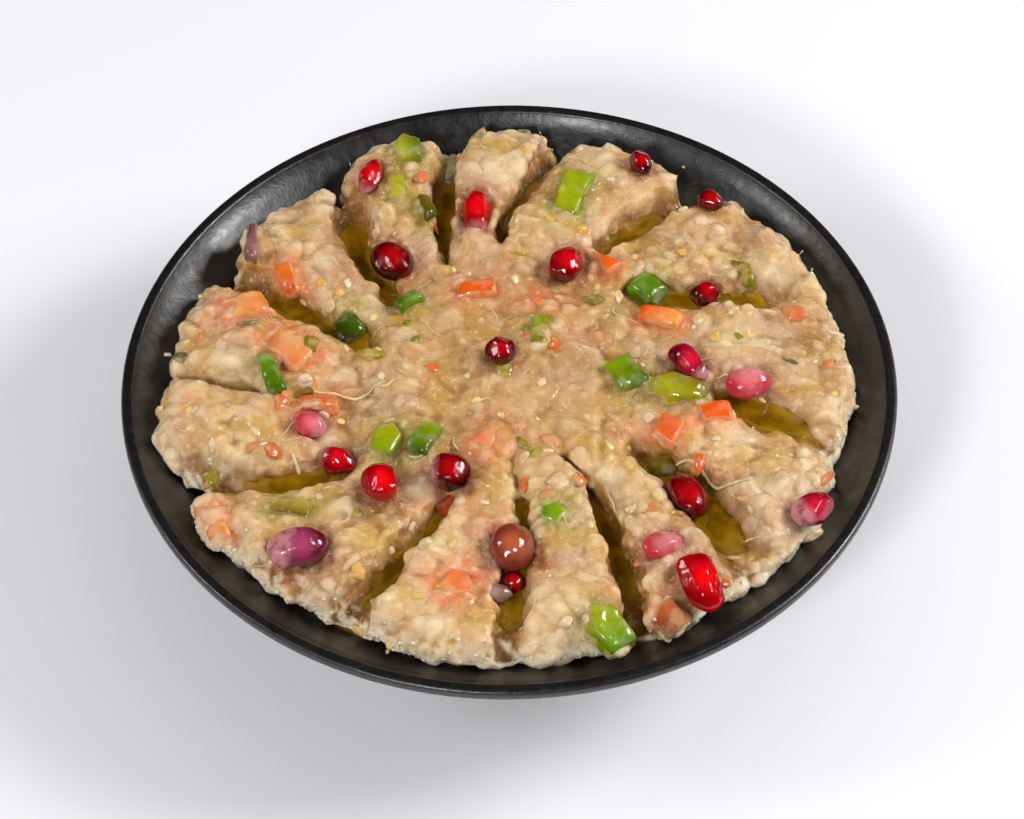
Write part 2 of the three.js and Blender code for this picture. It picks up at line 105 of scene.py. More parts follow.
def makeStage():
    bm = bmesh.new()
    bmesh.ops.create_grid(bm, x_segments=1, y_segments=1, size=room["floorSize"])
    mesh = bpy.data.meshes.new("floor")
    bm.to_mesh(mesh)
    bm.free()
    floor = bpy.data.objects.new("floor", mesh)
    scene.collection.objects.link(floor)
    floor.location.z = -room["floorDrop"]
    mat = bpy.data.materials.new("paleFloor")
    mat.use_nodes = True
    shader = mat.node_tree.nodes["Principled BSDF"]
    shader.inputs["Base Color"].default_value = (*room["floorColor"], 1)
    shader.inputs["Roughness"].default_value = room["floorRoughness"]
    mesh.materials.append(mat)

    for name, values in lighting.items():
        areaLight(name, *values)
    world = bpy.data.worlds.new("paleRoom")
    scene.world = world
    world.use_nodes = True
    sky = world.node_tree.nodes["Background"]
    sky.inputs["Color"].default_value = (1, 1, 1, 1)
    sky.inputs["Strength"].default_value = room["sky"]
    world.cycles_visibility.glossy = False
    scene.view_settings.view_transform = "Standard"


makeCamera()
makeStage()
print("camera, floor and lights are up")


# small helpers

def fromPolar(radius, angle):
    turn = math.radians(angle)
    x = hubPlace[0] + radius * math.cos(turn)
    return Vector((x * mm, (hubPlace[1] + radius * math.sin(turn)) * mm, 0))


def smooth01(low, high, value):
    t = min(max((value - low) / (high - low), 0), 1)
    return t * t * (3 - 2 * t)


def cadCopy(name):  # a CAD piece with its faces joined up
    bm = bmesh.new()
    bm.from_mesh(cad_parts[name].data)
    bmesh.ops.remove_doubles(bm, verts=bm.verts, dist=0.01 * mm)
    return bm


def toMesh(name, bm):
    mesh = bpy.data.meshes.new(name)
    bm.to_mesh(mesh)
    bm.free()
    return mesh


def asObject(data):
    holder = bpy.data.objects.new("holder", data)
    scene.collection.objects.link(holder)
    return holder


def evaluated(holder):  # the mesh that the holder comes out as; the holder goes
    graph = bpy.context.evaluated_depsgraph_get()
    mesh = bpy.data.meshes.new_from_object(holder.evaluated_get(graph))
    bpy.data.objects.remove(holder)
    return mesh


def remeshed(mesh, voxel):
    holder = asObject(mesh)
    modifier = holder.modifiers.new("voxels", "REMESH")
    modifier.mode = "VOXEL"
    modifier.voxel_size = voxel * mm
    return evaluated(holder)


def readAll(items, key, width, kind):
    values = np.zeros(len(items) * width, kind)
    items.foreach_get(key, values)
    return values.reshape(-1, width)


def pointsOf(mesh):
    return readAll(mesh.vertices, "co", 3, np.float32)


def setPoints(mesh, points):
    mesh.vertices.foreach_set("co", points.astype(np.float32).ravel())
    mesh.update()


def paint(mesh, name, colors):  # one colour for each vertex, as an attribute
    layer = mesh.color_attributes.new(name, "FLOAT_COLOR", "POINT")
    full = np.ones((len(mesh.vertices), 4), np.float32)
    full[:, :colors.shape[1]] = colors
    layer.data.foreach_set("color", full.ravel())


def place(name, mesh, material, slot, replaced=()):
    piece = bpy.data.objects.new(name, mesh)
    scene.collection.objects.link(piece)
    mesh.shade_smooth()
    mesh.materials.clear()
    mesh.materials.append(material)
    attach(piece, "root")
    if replaced:
        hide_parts(*replaced)
    return piece


def nodeShape(name):  # centre, axes as columns (long, across, up) and half sizes of a CAD piece
    points = np.unique(np.round(pointsOf(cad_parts[name].data), 6), axis=0)
    centre = (points.max(0) + points.min(0)) / 2
    values, vectors = np.linalg.eigh(np.cov((points - centre).T))
    order = list(np.argsort(-values))
    up = max(order, key=lambda k: abs(vectors[2, k]))
    order.remove(up)
    axes = np.stack([vectors[:, order[0]], vectors[:, order[1]], vectors[:, up]], axis=1)
    if axes[2, 2] < 0:
        axes[:, 2] *= -1
    if np.linalg.det(axes) < 0:
        axes[:, 1] *= -1
    local = (points - centre) @ axes
    half = (local.max(0) - local.min(0)) / 2
    centre = centre + axes @ ((local.max(0) + local.min(0)) / 2)
    return centre, axes, half


toppingNames = [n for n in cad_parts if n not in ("bowl", "dip") and not n.startswith("oil_")]
toppingShapes = {n: nodeShape(n) for n in toppingNames}
looseToppings = (  # they lie on a furrow's oil or bridge it
    "pepper_left", "pepper_back", "pepper_pool", "aril_10", "aril_12", "aril_16", "aril_17", "tomato_groove",
    "onion_oval",
)


# material helpers

class Nodes:
    def __init__(self, name):
        self.material = bpy.data.materials.new(name)
        self.material.use_nodes = True
        self.tree = self.material.node_tree
        self.shader = self.tree.nodes["Principled BSDF"]
        self.coords = self.add("ShaderNodeTexCoord").outputs["Object"]

    def add(self, kind, **settings):
        node = self.tree.nodes.new(kind)
        for key, value in settings.items():
            setattr(node, key, value)
        return node

    def join(self, source, target):
        self.tree.links.new(source, target)

    def put(self, socket, value):
        if isinstance(value, bpy.types.NodeSocket):
            self.join(value, socket)
        else:
            socket.default_value = value

    def fill(self, node, **values):  # sets or joins a node's own sockets
        for key, value in values.items():
            self.put(node.inputs[key.replace("_", " ")], value)

    def shade(self, **values):
        self.fill(self.shader, **values)

    def noise(self, scale, detail=3, rough=0.5, distortion=0, output="Fac"):
        node = self.add("ShaderNodeTexNoise")
        self.fill(node, Vector=self.coords, Scale=scale, Detail=detail)
        self.fill(node, Roughness=rough, Distortion=distortion)
        return node.outputs[output]

    def blobs(self, scale, smooth, vector):  # the distance from each blob's middle
        node = self.add("ShaderNodeTexVoronoi", feature="SMOOTH_F1")
        self.fill(node, Scale=scale, Smoothness=smooth, Vector=vector)
        return node.outputs["Distance"]

    def span(self, value, low, high, toLow=0.0, toHigh=1.0):
        node = self.add("ShaderNodeMapRange", interpolation_type="SMOOTHSTEP")
        self.fill(node, Value=value, From_Min=low, From_Max=high, To_Min=toLow, To_Max=toHigh)
        return node.outputs["Result"]

    def calc(self, operation, a, b=0.0):
        node = self.add("ShaderNodeMath", operation=operation)
        self.put(node.inputs[0], a)
        self.put(node.inputs[1], b)
        return node.outputs[0]

    def times(self, product, *others):
        for other in others:
            product = self.calc("MULTIPLY", product, other)
        return product

    def blend(self, factor, a, b, mode="MIX"):
        node = self.add("ShaderNodeMix", data_type="RGBA", blend_type=mode)
        self.put(node.inputs["Factor"], factor)
        self.put(node.inputs["A"], a if isinstance(a, bpy.types.NodeSocket) else (*a, 1))
        self.put(node.inputs["B"], b if isinstance(b, bpy.types.NodeSocket) else (*b, 1))
        return node.outputs["Result"]

    def attribute(self, name):  # its three channels, and its alpha
        node = self.add("ShaderNodeAttribute", attribute_name=name)
        split = self.add("ShaderNodeSeparateColor")
        self.join(node.outputs["Color"], split.inputs["Color"])
        return split.outputs, node.outputs["Alpha"]

    def bump(self, height, strength, distance, normal=None):
        node = self.add("ShaderNodeBump")
        self.fill(node, Strength=strength, Distance=distance, Height=height)
        if normal:
            self.join(normal, node.inputs["Normal"])
        return node.outputs["Normal"]


def tint(*channels):  # a screen colour, 0 to 255, as a shader colour
    return tuple(((v / 255 + 0.055) / 1.055) ** 2.4 if v > 10 else v / 255 / 12.92 for v in channels)


# bowl

bowlShape = {  # mm, the main sizes as in the CAD
    "lipWidth": 2.8,
    "lipRounding": 0.9,
    "lipDepth": 0.9,
    "wallThickness": 3,
    "wallSlope": math.radians(35),
    "floorHeight": 6,
    "bendRadius": 40,
    "footRadius": 37,
    "footWidth": 4,
    "footHeight": 4.6,
    "recessHeight": 2.4,
    "recessRounding": 1.6,
    "recessInset": 2.5,  # from the foot ring's inner side to where the rounding starts
    "footRounding": 0.7,
    "footInset": 0.9,  # of the rounding's centre
    "coveRadius": 2.4,  # between the foot ring and the wall
    "coveCentre": (2.6, -1.7),  # from the top of the foot ring's outer side
    "wallStart": 4.5,  # beyond the foot ring
    "wallEnd": 1.2,  # inside the rim
    "wallSteps": 12,
    "insideSteps": 25,
    "segments": 200,
}


def bowlInside(radius):  # mm, the height of the inner wall
    b = bowlShape
    rise = rimTop / mm - b["lipRounding"] - b["floorHeight"]
    wallFoot = rimRadius / mm - b["lipWidth"] - rise / math.tan(b["wallSlope"])
    bendStart = wallFoot - b["bendRadius"] * math.tan(b["wallSlope"] / 2)
    bendEnd = bendStart + b["bendRadius"] * math.sin(b["wallSlope"])
    if radius <= bendStart:
        return b["floorHeight"]
    if radius >= bendEnd:
        return b["floorHeight"] + (radius - wallFoot) * math.tan(b["wallSlope"])
    return b["floorHeight"] + b["bendRadius"] - math.sqrt(b["bendRadius"] ** 2 - (radius - bendStart) ** 2)


def arcPoints(centre, radius, fromAngle, toAngle, steps):
    turns = [math.radians(fromAngle + (toAngle - fromAngle) * k / steps) for k in range(steps + 1)]
    return [(centre[0] + radius * math.cos(t), centre[1] + radius * math.sin(t)) for t in turns]


def makeBowl(material):
    b = bowlShape
    rim, top = rimRadius / mm, rimTop / mm
    inner = rim - b["lipWidth"]
    drop = b["wallThickness"] / math.cos(b["wallSlope"])
    footIn, footOut = b["footRadius"] - b["footWidth"], b["footRadius"]
    recessEnd, recess = footIn - b["recessInset"], b["recessHeight"]
    edge, inset, lip = b["footRounding"], b["footInset"], b["lipRounding"]
    coveOut, coveUp = b["coveCentre"]
    outline = [(0, recess), (recessEnd, recess)]
    outline += arcPoints((recessEnd, recess - b["recessRounding"]), b["recessRounding"], 90, 20, 4)
    outline += arcPoints((footIn + inset, edge), edge, 180, 270, 4)
    outline += arcPoints((footOut - inset, edge), edge, 270, 360, 4)
    outline += [(footOut + 0.1, b["footHeight"] - 1.6)]
    outline += arcPoints((footOut + coveOut, b["footHeight"] + coveUp), b["coveRadius"], 175, 110, 4)
    for k in range(1, b["wallSteps"] + 1):
        start = footOut + b["wallStart"]
        radius = start + (rim - b["wallEnd"] - start) * k / b["wallSteps"]
        outline.append((radius, bowlInside(radius) - drop))
    outline.append((rim - 0.15, bowlInside(rim) - drop + 0.35))
    outline.append((rim, bowlInside(rim) - drop + b["lipDepth"]))
    outline += arcPoints((rim - lip, top - lip), lip, 0, 90, 7)
    outline += arcPoints((inner + lip, top - lip), lip, 90, 165, 6)
    for k in range(1, b["insideSteps"]):
        radius = inner - inner * k / b["insideSteps"]
        outline.append((radius, bowlInside(radius)))
    outline.append((0, b["floorHeight"]))

    bm = bmesh.new()
    chain = [bm.verts.new((radius * mm, 0, height * mm)) for radius, height in outline]
    edges = [bm.edges.new(pair) for pair in zip(chain, chain[1:])]
    bmesh.ops.spin(bm, geom=chain + edges, cent=(0, 0, 0), axis=(0, 0, 1), angle=math.tau,
                   steps=b["segments"], use_merge=True)
    bmesh.ops.remove_doubles(bm, verts=bm.verts, dist=0.02 * mm)
    bmesh.ops.recalc_face_normals(bm, faces=bm.faces)
    place("blackBowl", toMesh("blackBowl", bm), material, "black_glaze", ("bowl",))


def blackGlaze():
    n = Nodes("blackGlaze")
    cloud = n.noise(55, 4, 0.6)
    mottle = n.noise(420, 3, 0.6)
    grain = n.noise(1900, 2, 0.6)
    base = n.blend(n.span(cloud, 0.3, 0.75), tint(16, 14, 14), tint(23, 19, 18))
    dust = n.span(n.noise(2600, 1, 0.5), 0.755, 0.80)
    base = n.blend(n.times(dust, 0.5), base, tint(120, 112, 104))
    n.shade(Base_Color=base, Roughness=n.span(mottle, 0.25, 0.8, 0.32, 0.5))
    n.shade(Specular_IOR_Level=0.7, Coat_Weight=0.15, Coat_Roughness=0.2)
    n.shade(Normal=n.bump(grain, 0.25, 0.00012, n.bump(mottle, 0.35, 0.0004)))
    return n.material


makeBowl(blackGlaze())
print("bowl is spun")


# dip

dipShape = {  # mm
    "voxel": 0.62,
    "lumps": 900,
    "lumpSize": (1.8, 4.8),
    "lumpWide": (0.5, 0.85),  # shares of the size
    "lumpFlat": (0.34, 0.52),
    "lumpSunk": (0.4, 0.9),  # shares of the thickness
    "furrow": (41, 36),  # heights over which the lumps grow fewer
    "strands": 160,
    "strandLength": (5, 13),
    "strandWidth": (0.8, 1.5),
    "strandFloor": 38,
    "keepOff": 0.8,  # from the toppings
    "smoothing": 26,
    "pulp": ((8.0, 1.25), (3.6, 0.55)),  # the pulp's lumps: size and height
    "ripples": ((13.0, 0.85), (7.0, 0.4), (3.2, 0.24)),  # size and height
    "collar": 0.7,  # how far the dip laps sideways round what is sunk in it
    "collarDrop": {  # and how far below its top, as shares of its height
        "aril": 0.8, "pepper": 0.32, "tomato": 0.1, "carrot": 0.12, "onion": 0.35,
    },
    "underside": 1.1,  # from the bowl's inner wall
    "underShare": 0.9,  # how much of the hidden underside's mesh is thinned away
}


def isUnderside(point, margin=1.6):
    radius = math.hypot(point[0], point[1]) / mm
    return point[2] / mm < bowlInside(radius) + margin


def surfaceSamples(bm, count, rng):  # places on the dip's upper side, by area
    faces = [f for f in bm.faces if not isUnderside(f.calc_center_median())]
    areas = np.cumsum([f.calc_area() for f in faces])
    for _ in range(count):
        face = faces[int(np.searchsorted(areas, rng.random() * areas[-1]))]
        a, b, c = (v.co for v in face.verts)
        s, t = rng.random(), rng.random()
        if s + t > 1:
            s, t = 1 - s, 1 - t
        yield a + (b - a) * s + (c - a) * t, face.normal.copy()


def nearTopping(point, margin):  # margin in metres
    for centre, axes, half in toppingShapes.values():
        local = np.abs(axes.T @ (np.array(point) - centre)) - half
        if local.max() < margin:
            return True
    return False


def turned(normal, heading):  # a matrix whose Z is the normal and whose X leans to the heading
    side = normal.cross(heading).normalized()
    ahead = side.cross(normal).normalized()
    return Matrix((ahead, side, normal)).transposed().to_4x4()


def outwards(point, rng, spread):
    heading = Vector((point.x - hubPlace[0] * mm, point.y - hubPlace[1] * mm, 0))
    heading.rotate(Matrix.Rotation(rng.gauss(0, spread), 3, "Z"))
    return heading.normalized()


def addCopies(bm, template, matrices):
    for matrix in matrices:
        copy = template.copy()
        copy.transform(matrix)
        bm.from_mesh(copy)
        bpy.data.meshes.remove(copy)


def ballTemplate(subdivisions):
    bm = bmesh.new()
    bmesh.ops.create_icosphere(bm, subdivisions=subdivisions, radius=1)
    return toMesh("template", bm)


def dipLumps(bm):
    rng = random.Random(11)
    d = dipShape
    matrices = []
    smallest, largest = d["lumpSize"]
    for point, normal in surfaceSamples(bm, d["lumps"], rng):
        size = smallest + (largest - smallest) * rng.random() ** 1.8
        low = smooth01(*d["furrow"], point.z / mm)
        if rng.random() < 0.55 * low or nearTopping(point, (d["keepOff"] + 0.5 * size) * mm):
            continue
        wide, flat = size * rng.uniform(*d["lumpWide"]), size * rng.uniform(*d["lumpFlat"])
        scale = Matrix.Diagonal((size * mm, wide * mm, flat * mm, 1))
        tilt = Matrix.Rotation(rng.gauss(0, 0.35), 4, "Y")
        at = Matrix.Translation(point - normal * flat * rng.uniform(*d["lumpSunk"]) * mm)
        matrices.append(at @ turned(normal, outwards(point, rng, 0.9)) @ tilt @ scale)
    for point, normal in surfaceSamples(bm, d["strands"], rng):
        if point.z / mm < d["strandFloor"] or nearTopping(point, (d["keepOff"] + 1.5) * mm):
            continue
        length = rng.uniform(*d["strandLength"])
        wide = rng.uniform(*d["strandWidth"])
        scale = Matrix.Diagonal((0.5 * length * mm, 0.5 * wide * mm, 0.55 * wide * mm, 1))
        tilt = Matrix.Rotation(rng.gauss(0, 0.08), 4, "Y")
        at = Matrix.Translation(point + normal * rng.uniform(-0.1, 0.25) * mm)
        matrices.append(at @ turned(normal, outwards(point, rng, 0.45)) @ tilt @ scale)
    addCopies(bm, ballTemplate(2), matrices)


def dipCollars(bm):  # the dip closes up round what is sunk in it
    for name, (centre, axes, half) in toppingShapes.items():
        if name in looseToppings:
            continue
        kind = name.split("_")[0]
        wide = 1 + dipShape["collar"] * mm / half[:2]
        drop = dipShape["collarDrop"][kind] * 2 * half[2]
        turn = Matrix(axes.tolist()).to_4x4()
        grow = turn @ Matrix.Diagonal((wide[0], wide[1], 1, 1)) @ turn.transposed()
        lowered = Matrix.Translation(Vector(centre) - Vector(axes[:, 2]) * drop)
        collar = toMesh("collar", cadCopy(name))
        collar.transform(lowered @ grow @ Matrix.Translation(-Vector(centre)))
        bm.from_mesh(collar)
        bpy.data.meshes.remove(collar)


def neighbourMean(points, edges):
    total = np.zeros_like(points)
    count = np.bincount(edges.ravel(), minlength=len(points)).astype(np.float32)
    for axis in range(3):
        total[:, axis] = np.bincount(edges[:, 0], points[edges[:, 1], axis], len(points))
        total[:, axis] += np.bincount(edges[:, 1], points[edges[:, 0], axis], len(points))
    return total / np.maximum(count, 1)[:, None]


def edgesOf(mesh):
    return readAll(mesh.edges, "vertices", 2, np.int32)


def normalsOf(mesh):
    return readAll(mesh.vertex_normals, "vector", 3, np.float32)


def smoother(points, edges, rounds, share):
    for _ in range(rounds):
        points = points + (neighbourMean(points, edges) - points) * share
    return points


def relax(mesh, rounds, share=0.5):
    setPoints(mesh, smoother(pointsOf(mesh), edgesOf(mesh), rounds, share))


def rippled(mesh, ripples, seed):
    points = pointsOf(mesh)
    normals = normalsOf(mesh)
    heights = np.zeros(len(points), np.float32)
    shift = Vector((seed * 3.1, seed * 1.7, seed * 2.3))
    for size, height in ripples:
        values = [noise.noise(Vector(p) / (size * mm) + shift) for p in points]
        heights += np.array(values, np.float32) * height * mm * 1.6
    setPoints(mesh, points + normals * heights[:, None])


pulpShape = {
    "swirl": (0.45, 0.9),  # how finely and how far the lumps are bent, in lumps
    "edge": 0.55,  # how wide a lump's rounded edge is
    "round": 0.7,
    "level": 0.55,  # what of a lump's height lies below the surface
}


def pulpCells(points, size):  # each point's lump of pulp: how far inside it, and its own shade
    inside = np.zeros(len(points), np.float32)
    tone = np.zeros(len(points), np.float32)
    fine, far = pulpShape["swirl"]
    for index, point in enumerate(points):
        spot = Vector(point) / (size * mm)
        spot += noise.noise_vector(spot * fine) * far
        reach, centres = noise.voronoi(spot)
        inside[index] = min(1, (reach[1] - reach[0]) / pulpShape["edge"])
        tone[index] = (math.sin(centres[0].dot(Vector((12.99, 78.23, 37.72)))) * 4375.85) % 1
    return inside, tone


stainReach = {"tomato": (0, 3.6), "carrot": (0, 3), "pepper": (1, 3.6), "aril": (2, 3.4)}  # channel and mm


def stains(mesh):  # how near tomato, pepper and seeds are, and in the alpha how hollow the dip is
    points = pointsOf(mesh)
    colors = np.zeros((len(points), 4), np.float32)
    for name, (centre, axes, half) in toppingShapes.items():
        kind = name.split("_")[0]
        if kind in stainReach:
            channel, reach = stainReach[kind]
            outside = np.maximum(np.abs((points - centre) @ axes) - half, 0)
            away = np.linalg.norm(outside, axis=1) / (reach * mm)
            colors[:, channel] = np.maximum(colors[:, channel], np.exp(-away ** 2))
    smoothed = smoother(points, edgesOf(mesh), 10, 0.6)
    # this hollowness drives painted shade in the hollows and painted highlight on the bumps
    hollow = np.einsum("ij,ij->i", smoothed - points, normalsOf(mesh)) / (0.5 * mm)
    colors[:, 3] = np.clip(0.5 + 0.5 * hollow, 0, 1)
    return colors


patches = {  # places on the dip, and how wide in mm, where it is stained, oily or milky
    "blush": (
        (70, 166, 3.5), (62, 157, 3), (49, 170, 5), (70, 186, 3), (52, 189, 3.5), (21, 84, 3), (21, 69, 3.5),
        (20, 36, 4), (13, 39, 2.5), (66, 15, 3.5), (28, 10, 2.5), (32, 328, 4), (38, 347, 3.5),
        (52, 293, 2.5), (62, 289, 2.5), (41, 262, 3), (25, 246, 3),
    ),
    "olive": (
        (55, 130, 4), (62, 179, 4), (62, 30, 4), (29, 37, 4), (45, 305, 3), (66, 240, 3.5), (69, 244, 3),
        (66, 113, 4),
    ),
    "amber": (
        (46, 237, 4), (67, 236, 4), (62, 126, 4), (55, 155, 3), (55, 58, 5), (61, 68, 2.5), (53, 46, 5),
        (66, 35, 4), (66, 7, 5), (60, 208, 4), (66, 206, 3.5), (73, 253, 5), (74, 312, 4), (55, 84, 4),
        (60, 164, 2), (60, 3, 2),
    ),
    "milky": (
        (68, 128, 2.5), (62, 175, 3), (54, 141, 3), (71, 71, 2), (64, 51, 2.2), (67, 26, 5), (65, 328, 3),
        (77, 327, 2.5), (32, 340, 1.6), (68, 284, 1.8), (68, 280, 1.6), (53, 341, 3.5), (68, 257, 3),
        (36, 308, 2), (36, 146, 2), (50, 225, 2), (76, 234, 2.5), (37, 238, 2.5), (43, 201, 3), (26, 152, 3),
    ),
}


def paintPatches(mesh):
    points = pointsOf(mesh)
    colors = np.zeros((len(points), 4), np.float32)
    for channel, spots in enumerate(patches.values()):
        for radius, angle, size in spots:
            away = np.hypot(*(points[:, :2] - np.array(fromPolar(radius, angle)[:2])).T) / (size * mm)
            colors[:, channel] = np.maximum(colors[:, channel], np.exp(-away ** 2))
    paint(mesh, "patch", colors)


lobeEnds = {"start": 62, "over": 5, "slant": 0.35, "skirt": 72, "skirtOver": 6}  # mm from the middle


def edgeFacing(points, normals):  # 1 on the lobes' outer ends
    flat = points[:, :2] - np.array(hubPlace) * mm
    fromHub = np.linalg.norm(flat, axis=1)
    outwardness = (normals[:, :2] * flat).sum(axis=1) / np.maximum(fromHub, mm)
    far = np.clip((fromHub / mm - lobeEnds["start"]) / lobeEnds["over"], 0, 1)
    return np.clip((outwardness - lobeEnds["slant"]) / lobeEnds["slant"], 0, 1) * far


def makeDip(material):
    base = cadCopy("dip")
    bmesh.ops.triangulate(base, faces=base.faces)
    dipLumps(base)
    dipCollars(base)
    mesh = remeshed(toMesh("dipBase", base), dipShape["voxel"])
    relax(mesh, dipShape["smoothing"])
    tones = []
    for size, height in dipShape["pulp"]:
        points, normals = pointsOf(mesh), normalsOf(mesh)
        inside, tone = pulpCells(points, size)
        swell = (inside ** pulpShape["round"] - pulpShape["level"]) * height * mm
        setPoints(mesh, points + normals * swell[:, None])
        tones.append(tone)
    relax(mesh, 2)
    rippled(mesh, dipShape["ripples"], 4)
    points = pointsOf(mesh)
    fromHub = np.hypot(points[:, 0] / mm - hubPlace[0], points[:, 1] / mm - hubPlace[1])
    skirt = np.clip((fromHub - lobeEnds["skirt"]) / lobeEnds["skirtOver"], 0, 1)
    outside = np.maximum(edgeFacing(points, normalsOf(mesh)), skirt)
    paint(mesh, "pulp", np.stack([*tones, outside], axis=1))
    under = [int(i) for i, p in enumerate(points) if isUnderside(p, dipShape["underside"])]
    holder = asObject(mesh)
    holder.vertex_groups.new(name="underside").add(under, 1.0, "REPLACE")
    modifier = holder.modifiers.new("thin", "DECIMATE")
    modifier.vertex_group = "underside"
    modifier.ratio = 1 - dipShape["underShare"] * len(under) / len(points)
    thin = evaluated(holder)
    print("dip faces", len(mesh.polygons), "thinned", len(thin.polygons))
    paint(thin, "stain", stains(thin))
    paintPatches(thin)
    thin.name = "aubergineDip"
    return place("aubergineDip", thin, material, "aubergine_dip", ("dip",))


dipColors = {  # the pulp's own tones, then what stains it; amber also serves as painted shade low in the furrows and in hollows, deep is painted shade at the furrow floors, and white also serves as painted highlight on bumps and as painted glints
    "base": tint(203, 158, 104),
    "cream": tint(217, 181, 130),
    "white": tint(232, 212, 176),
    "tan": tint(178, 124, 64),
    "grey": tint(190, 156, 124),
    "yellow": tint(194, 150, 58),
    "olive": tint(146, 118, 34),
    "blush": tint(214, 124, 82),
    "green": tint(164, 150, 60),
    "amber": tint(146, 94, 22),
    # painted shade at the bottom of the furrows, not a stain
    "deep": tint(84, 48, 4),
    "redStain": tint(170, 84, 66),
    "fringe": tint(238, 222, 194),
    "tomatoWash": tint(218, 112, 58),
    "pepperWash": tint(124, 122, 18),
    # partly juice and oil, partly painted contact shade, in a ring close round each seed
    "arilJuiceAndShade": tint(122, 34, 18),
}


def aubergineFlesh():
    n = Nodes("aubergineFlesh")
    c = dipColors
    stain, hollow = n.attribute("stain")
    pulp, _ = n.attribute("pulp")
    patch, milky = n.attribute("patch")
    spot = n.add("ShaderNodeSeparateXYZ")
    n.join(n.coords, spot.inputs["Vector"])
    big = n.noise(75, 3, 0.55)
    middle = n.noise(280, 4, 0.6, 0.8)
    fine = n.noise(900, 3, 0.6)
    warped = n.blend(0.1, n.coords, n.noise(260, 2, 0.5, 0, "Color"))
    color = n.blend(n.span(big, 0.38, 0.64), c["base"], c["cream"])
    color = n.blend(n.span(n.noise(60, 2), 0.46, 0.64, 0, 0.8), color, c["grey"])
    color = n.blend(n.span(pulp["Green"], 0.62, 1.0, 0, 0.55), color, c["white"])
    color = n.blend(n.span(pulp["Red"], 0.4, 0.0, 0, 0.6), color, c["tan"])
    color = n.blend(n.span(middle, 0.5, 0.78, 0, 0.5), color, c["tan"])
    color = n.blend(n.span(n.noise(95, 2), 0.5, 0.66, 0, 0.75), color, c["yellow"])
    ragged = n.span(middle, 0.3, 0.62, 0.25, 1.0)
    for channel, name, share in (("Red", "blush", 0.6), ("Green", "green", 0.55), ("Blue", "redStain", 0.4)):
        color = n.blend(n.times(stain[channel], ragged, share), color, c[name])
    # close round each piece its colour bleeds into the dip; round the seeds the dark ring is partly painted
    # contact shade
    washes = (("Red", "tomatoWash", 0.7), ("Green", "pepperWash", 0.6), ("Blue", "arilJuiceAndShade", 0.65))
    for channel, name, share in washes:
        close = n.calc("POWER", stain[channel], 9.0)
        color = n.blend(n.times(close, ragged, share), color, c[name])
    blobs = n.span(n.blobs(250, 0.6, warped), 0.34, 0.12)
    gate = n.span(n.noise(130, 2), 0.42, 0.6)
    color = n.blend(n.times(blobs, gate, 0.8), color, c["white"])
    for channel, name, share in (("Red", "blush", 0.5), ("Green", "olive", 0.7), ("Blue", "amber", 0.7)):
        color = n.blend(n.times(patch[channel], ragged, share), color, c[name])
    color = n.blend(n.times(milky, 0.75), color, c["white"])
    across = n.calc("ADD", n.calc("POWER", spot.outputs["X"], 2.0), n.calc("POWER", spot.outputs["Y"], 2.0))
    color = n.blend(n.span(across, 0.0014, 0.0003, 0, 0.4), color, c["tan"])
    inner = n.calc("SUBTRACT", 1.0, pulp["Blue"])
    # painted shade, darker lower down in the furrows: amber (partly the oil-soaked pulp's own colour), then
    # deep near the floor
    for top, floor, name, share in ((0.0422, 0.0375, "amber", 0.85), (0.0392, 0.0345, "deep", 0.7)):
        low = n.span(spot.outputs["Z"], top, floor)
        color = n.blend(n.times(low, inner, share), color, c[name])
    # painted shade: amber in the hollows, partly oil gathered there; painted highlight: white on the bumps
    color = n.blend(n.span(hollow, 0.55, 0.95, 0, 0.65), color, c["amber"])
    color = n.blend(n.span(hollow, 0.45, 0.05, 0, 0.5), color, c["white"])
    color = n.blend(n.times(pulp["Blue"], n.span(middle, 0.35, 0.6, 0.1, 0.6)), color, c["white"])
    # fine white flecks, partly pale pulp specks, partly painted glints
    color = n.blend(n.span(fine, 0.54, 0.72, 0, 0.4), color, c["white"])
    skirt = n.times(pulp["Blue"], n.span(spot.outputs["Z"], 0.041, 0.036))
    color = n.blend(n.times(skirt, n.span(fine, 0.3, 0.6, 0.4, 1.0)), color, c["fringe"])
    n.shade(Base_Color=color, Roughness=n.span(fine, 0.3, 0.7, 0.3, 0.5), Specular_IOR_Level=0.15)
    n.shade(Subsurface_Weight=0.7, Subsurface_Scale=0.0032, Subsurface_Radius=(1.0, 0.6, 0.3))
    n.shade(Coat_Weight=1.0, Coat_Roughness=0.055, Coat_IOR=1.55)
    n.shade(Normal=n.bump(n.noise(520, 2, 0.5, 0.6), 0.3, 0.0006))
    glints = n.bump(n.noise(300, 2, 0.5, 0.6), 1.0, 0.0028)
    n.shade(Coat_Normal=n.bump(n.noise(720, 1, 0.5, 0.8), 0.9, 0.0016, glints))
    return n.material


dip = makeDip(aubergineFlesh())
dipFaces = [tuple(face.vertices) for face in dip.data.polygons]
dipSurface = BVHTree.FromPolygons([vert.co for vert in dip.data.vertices], dipFaces)
print("dip is made")


# oil

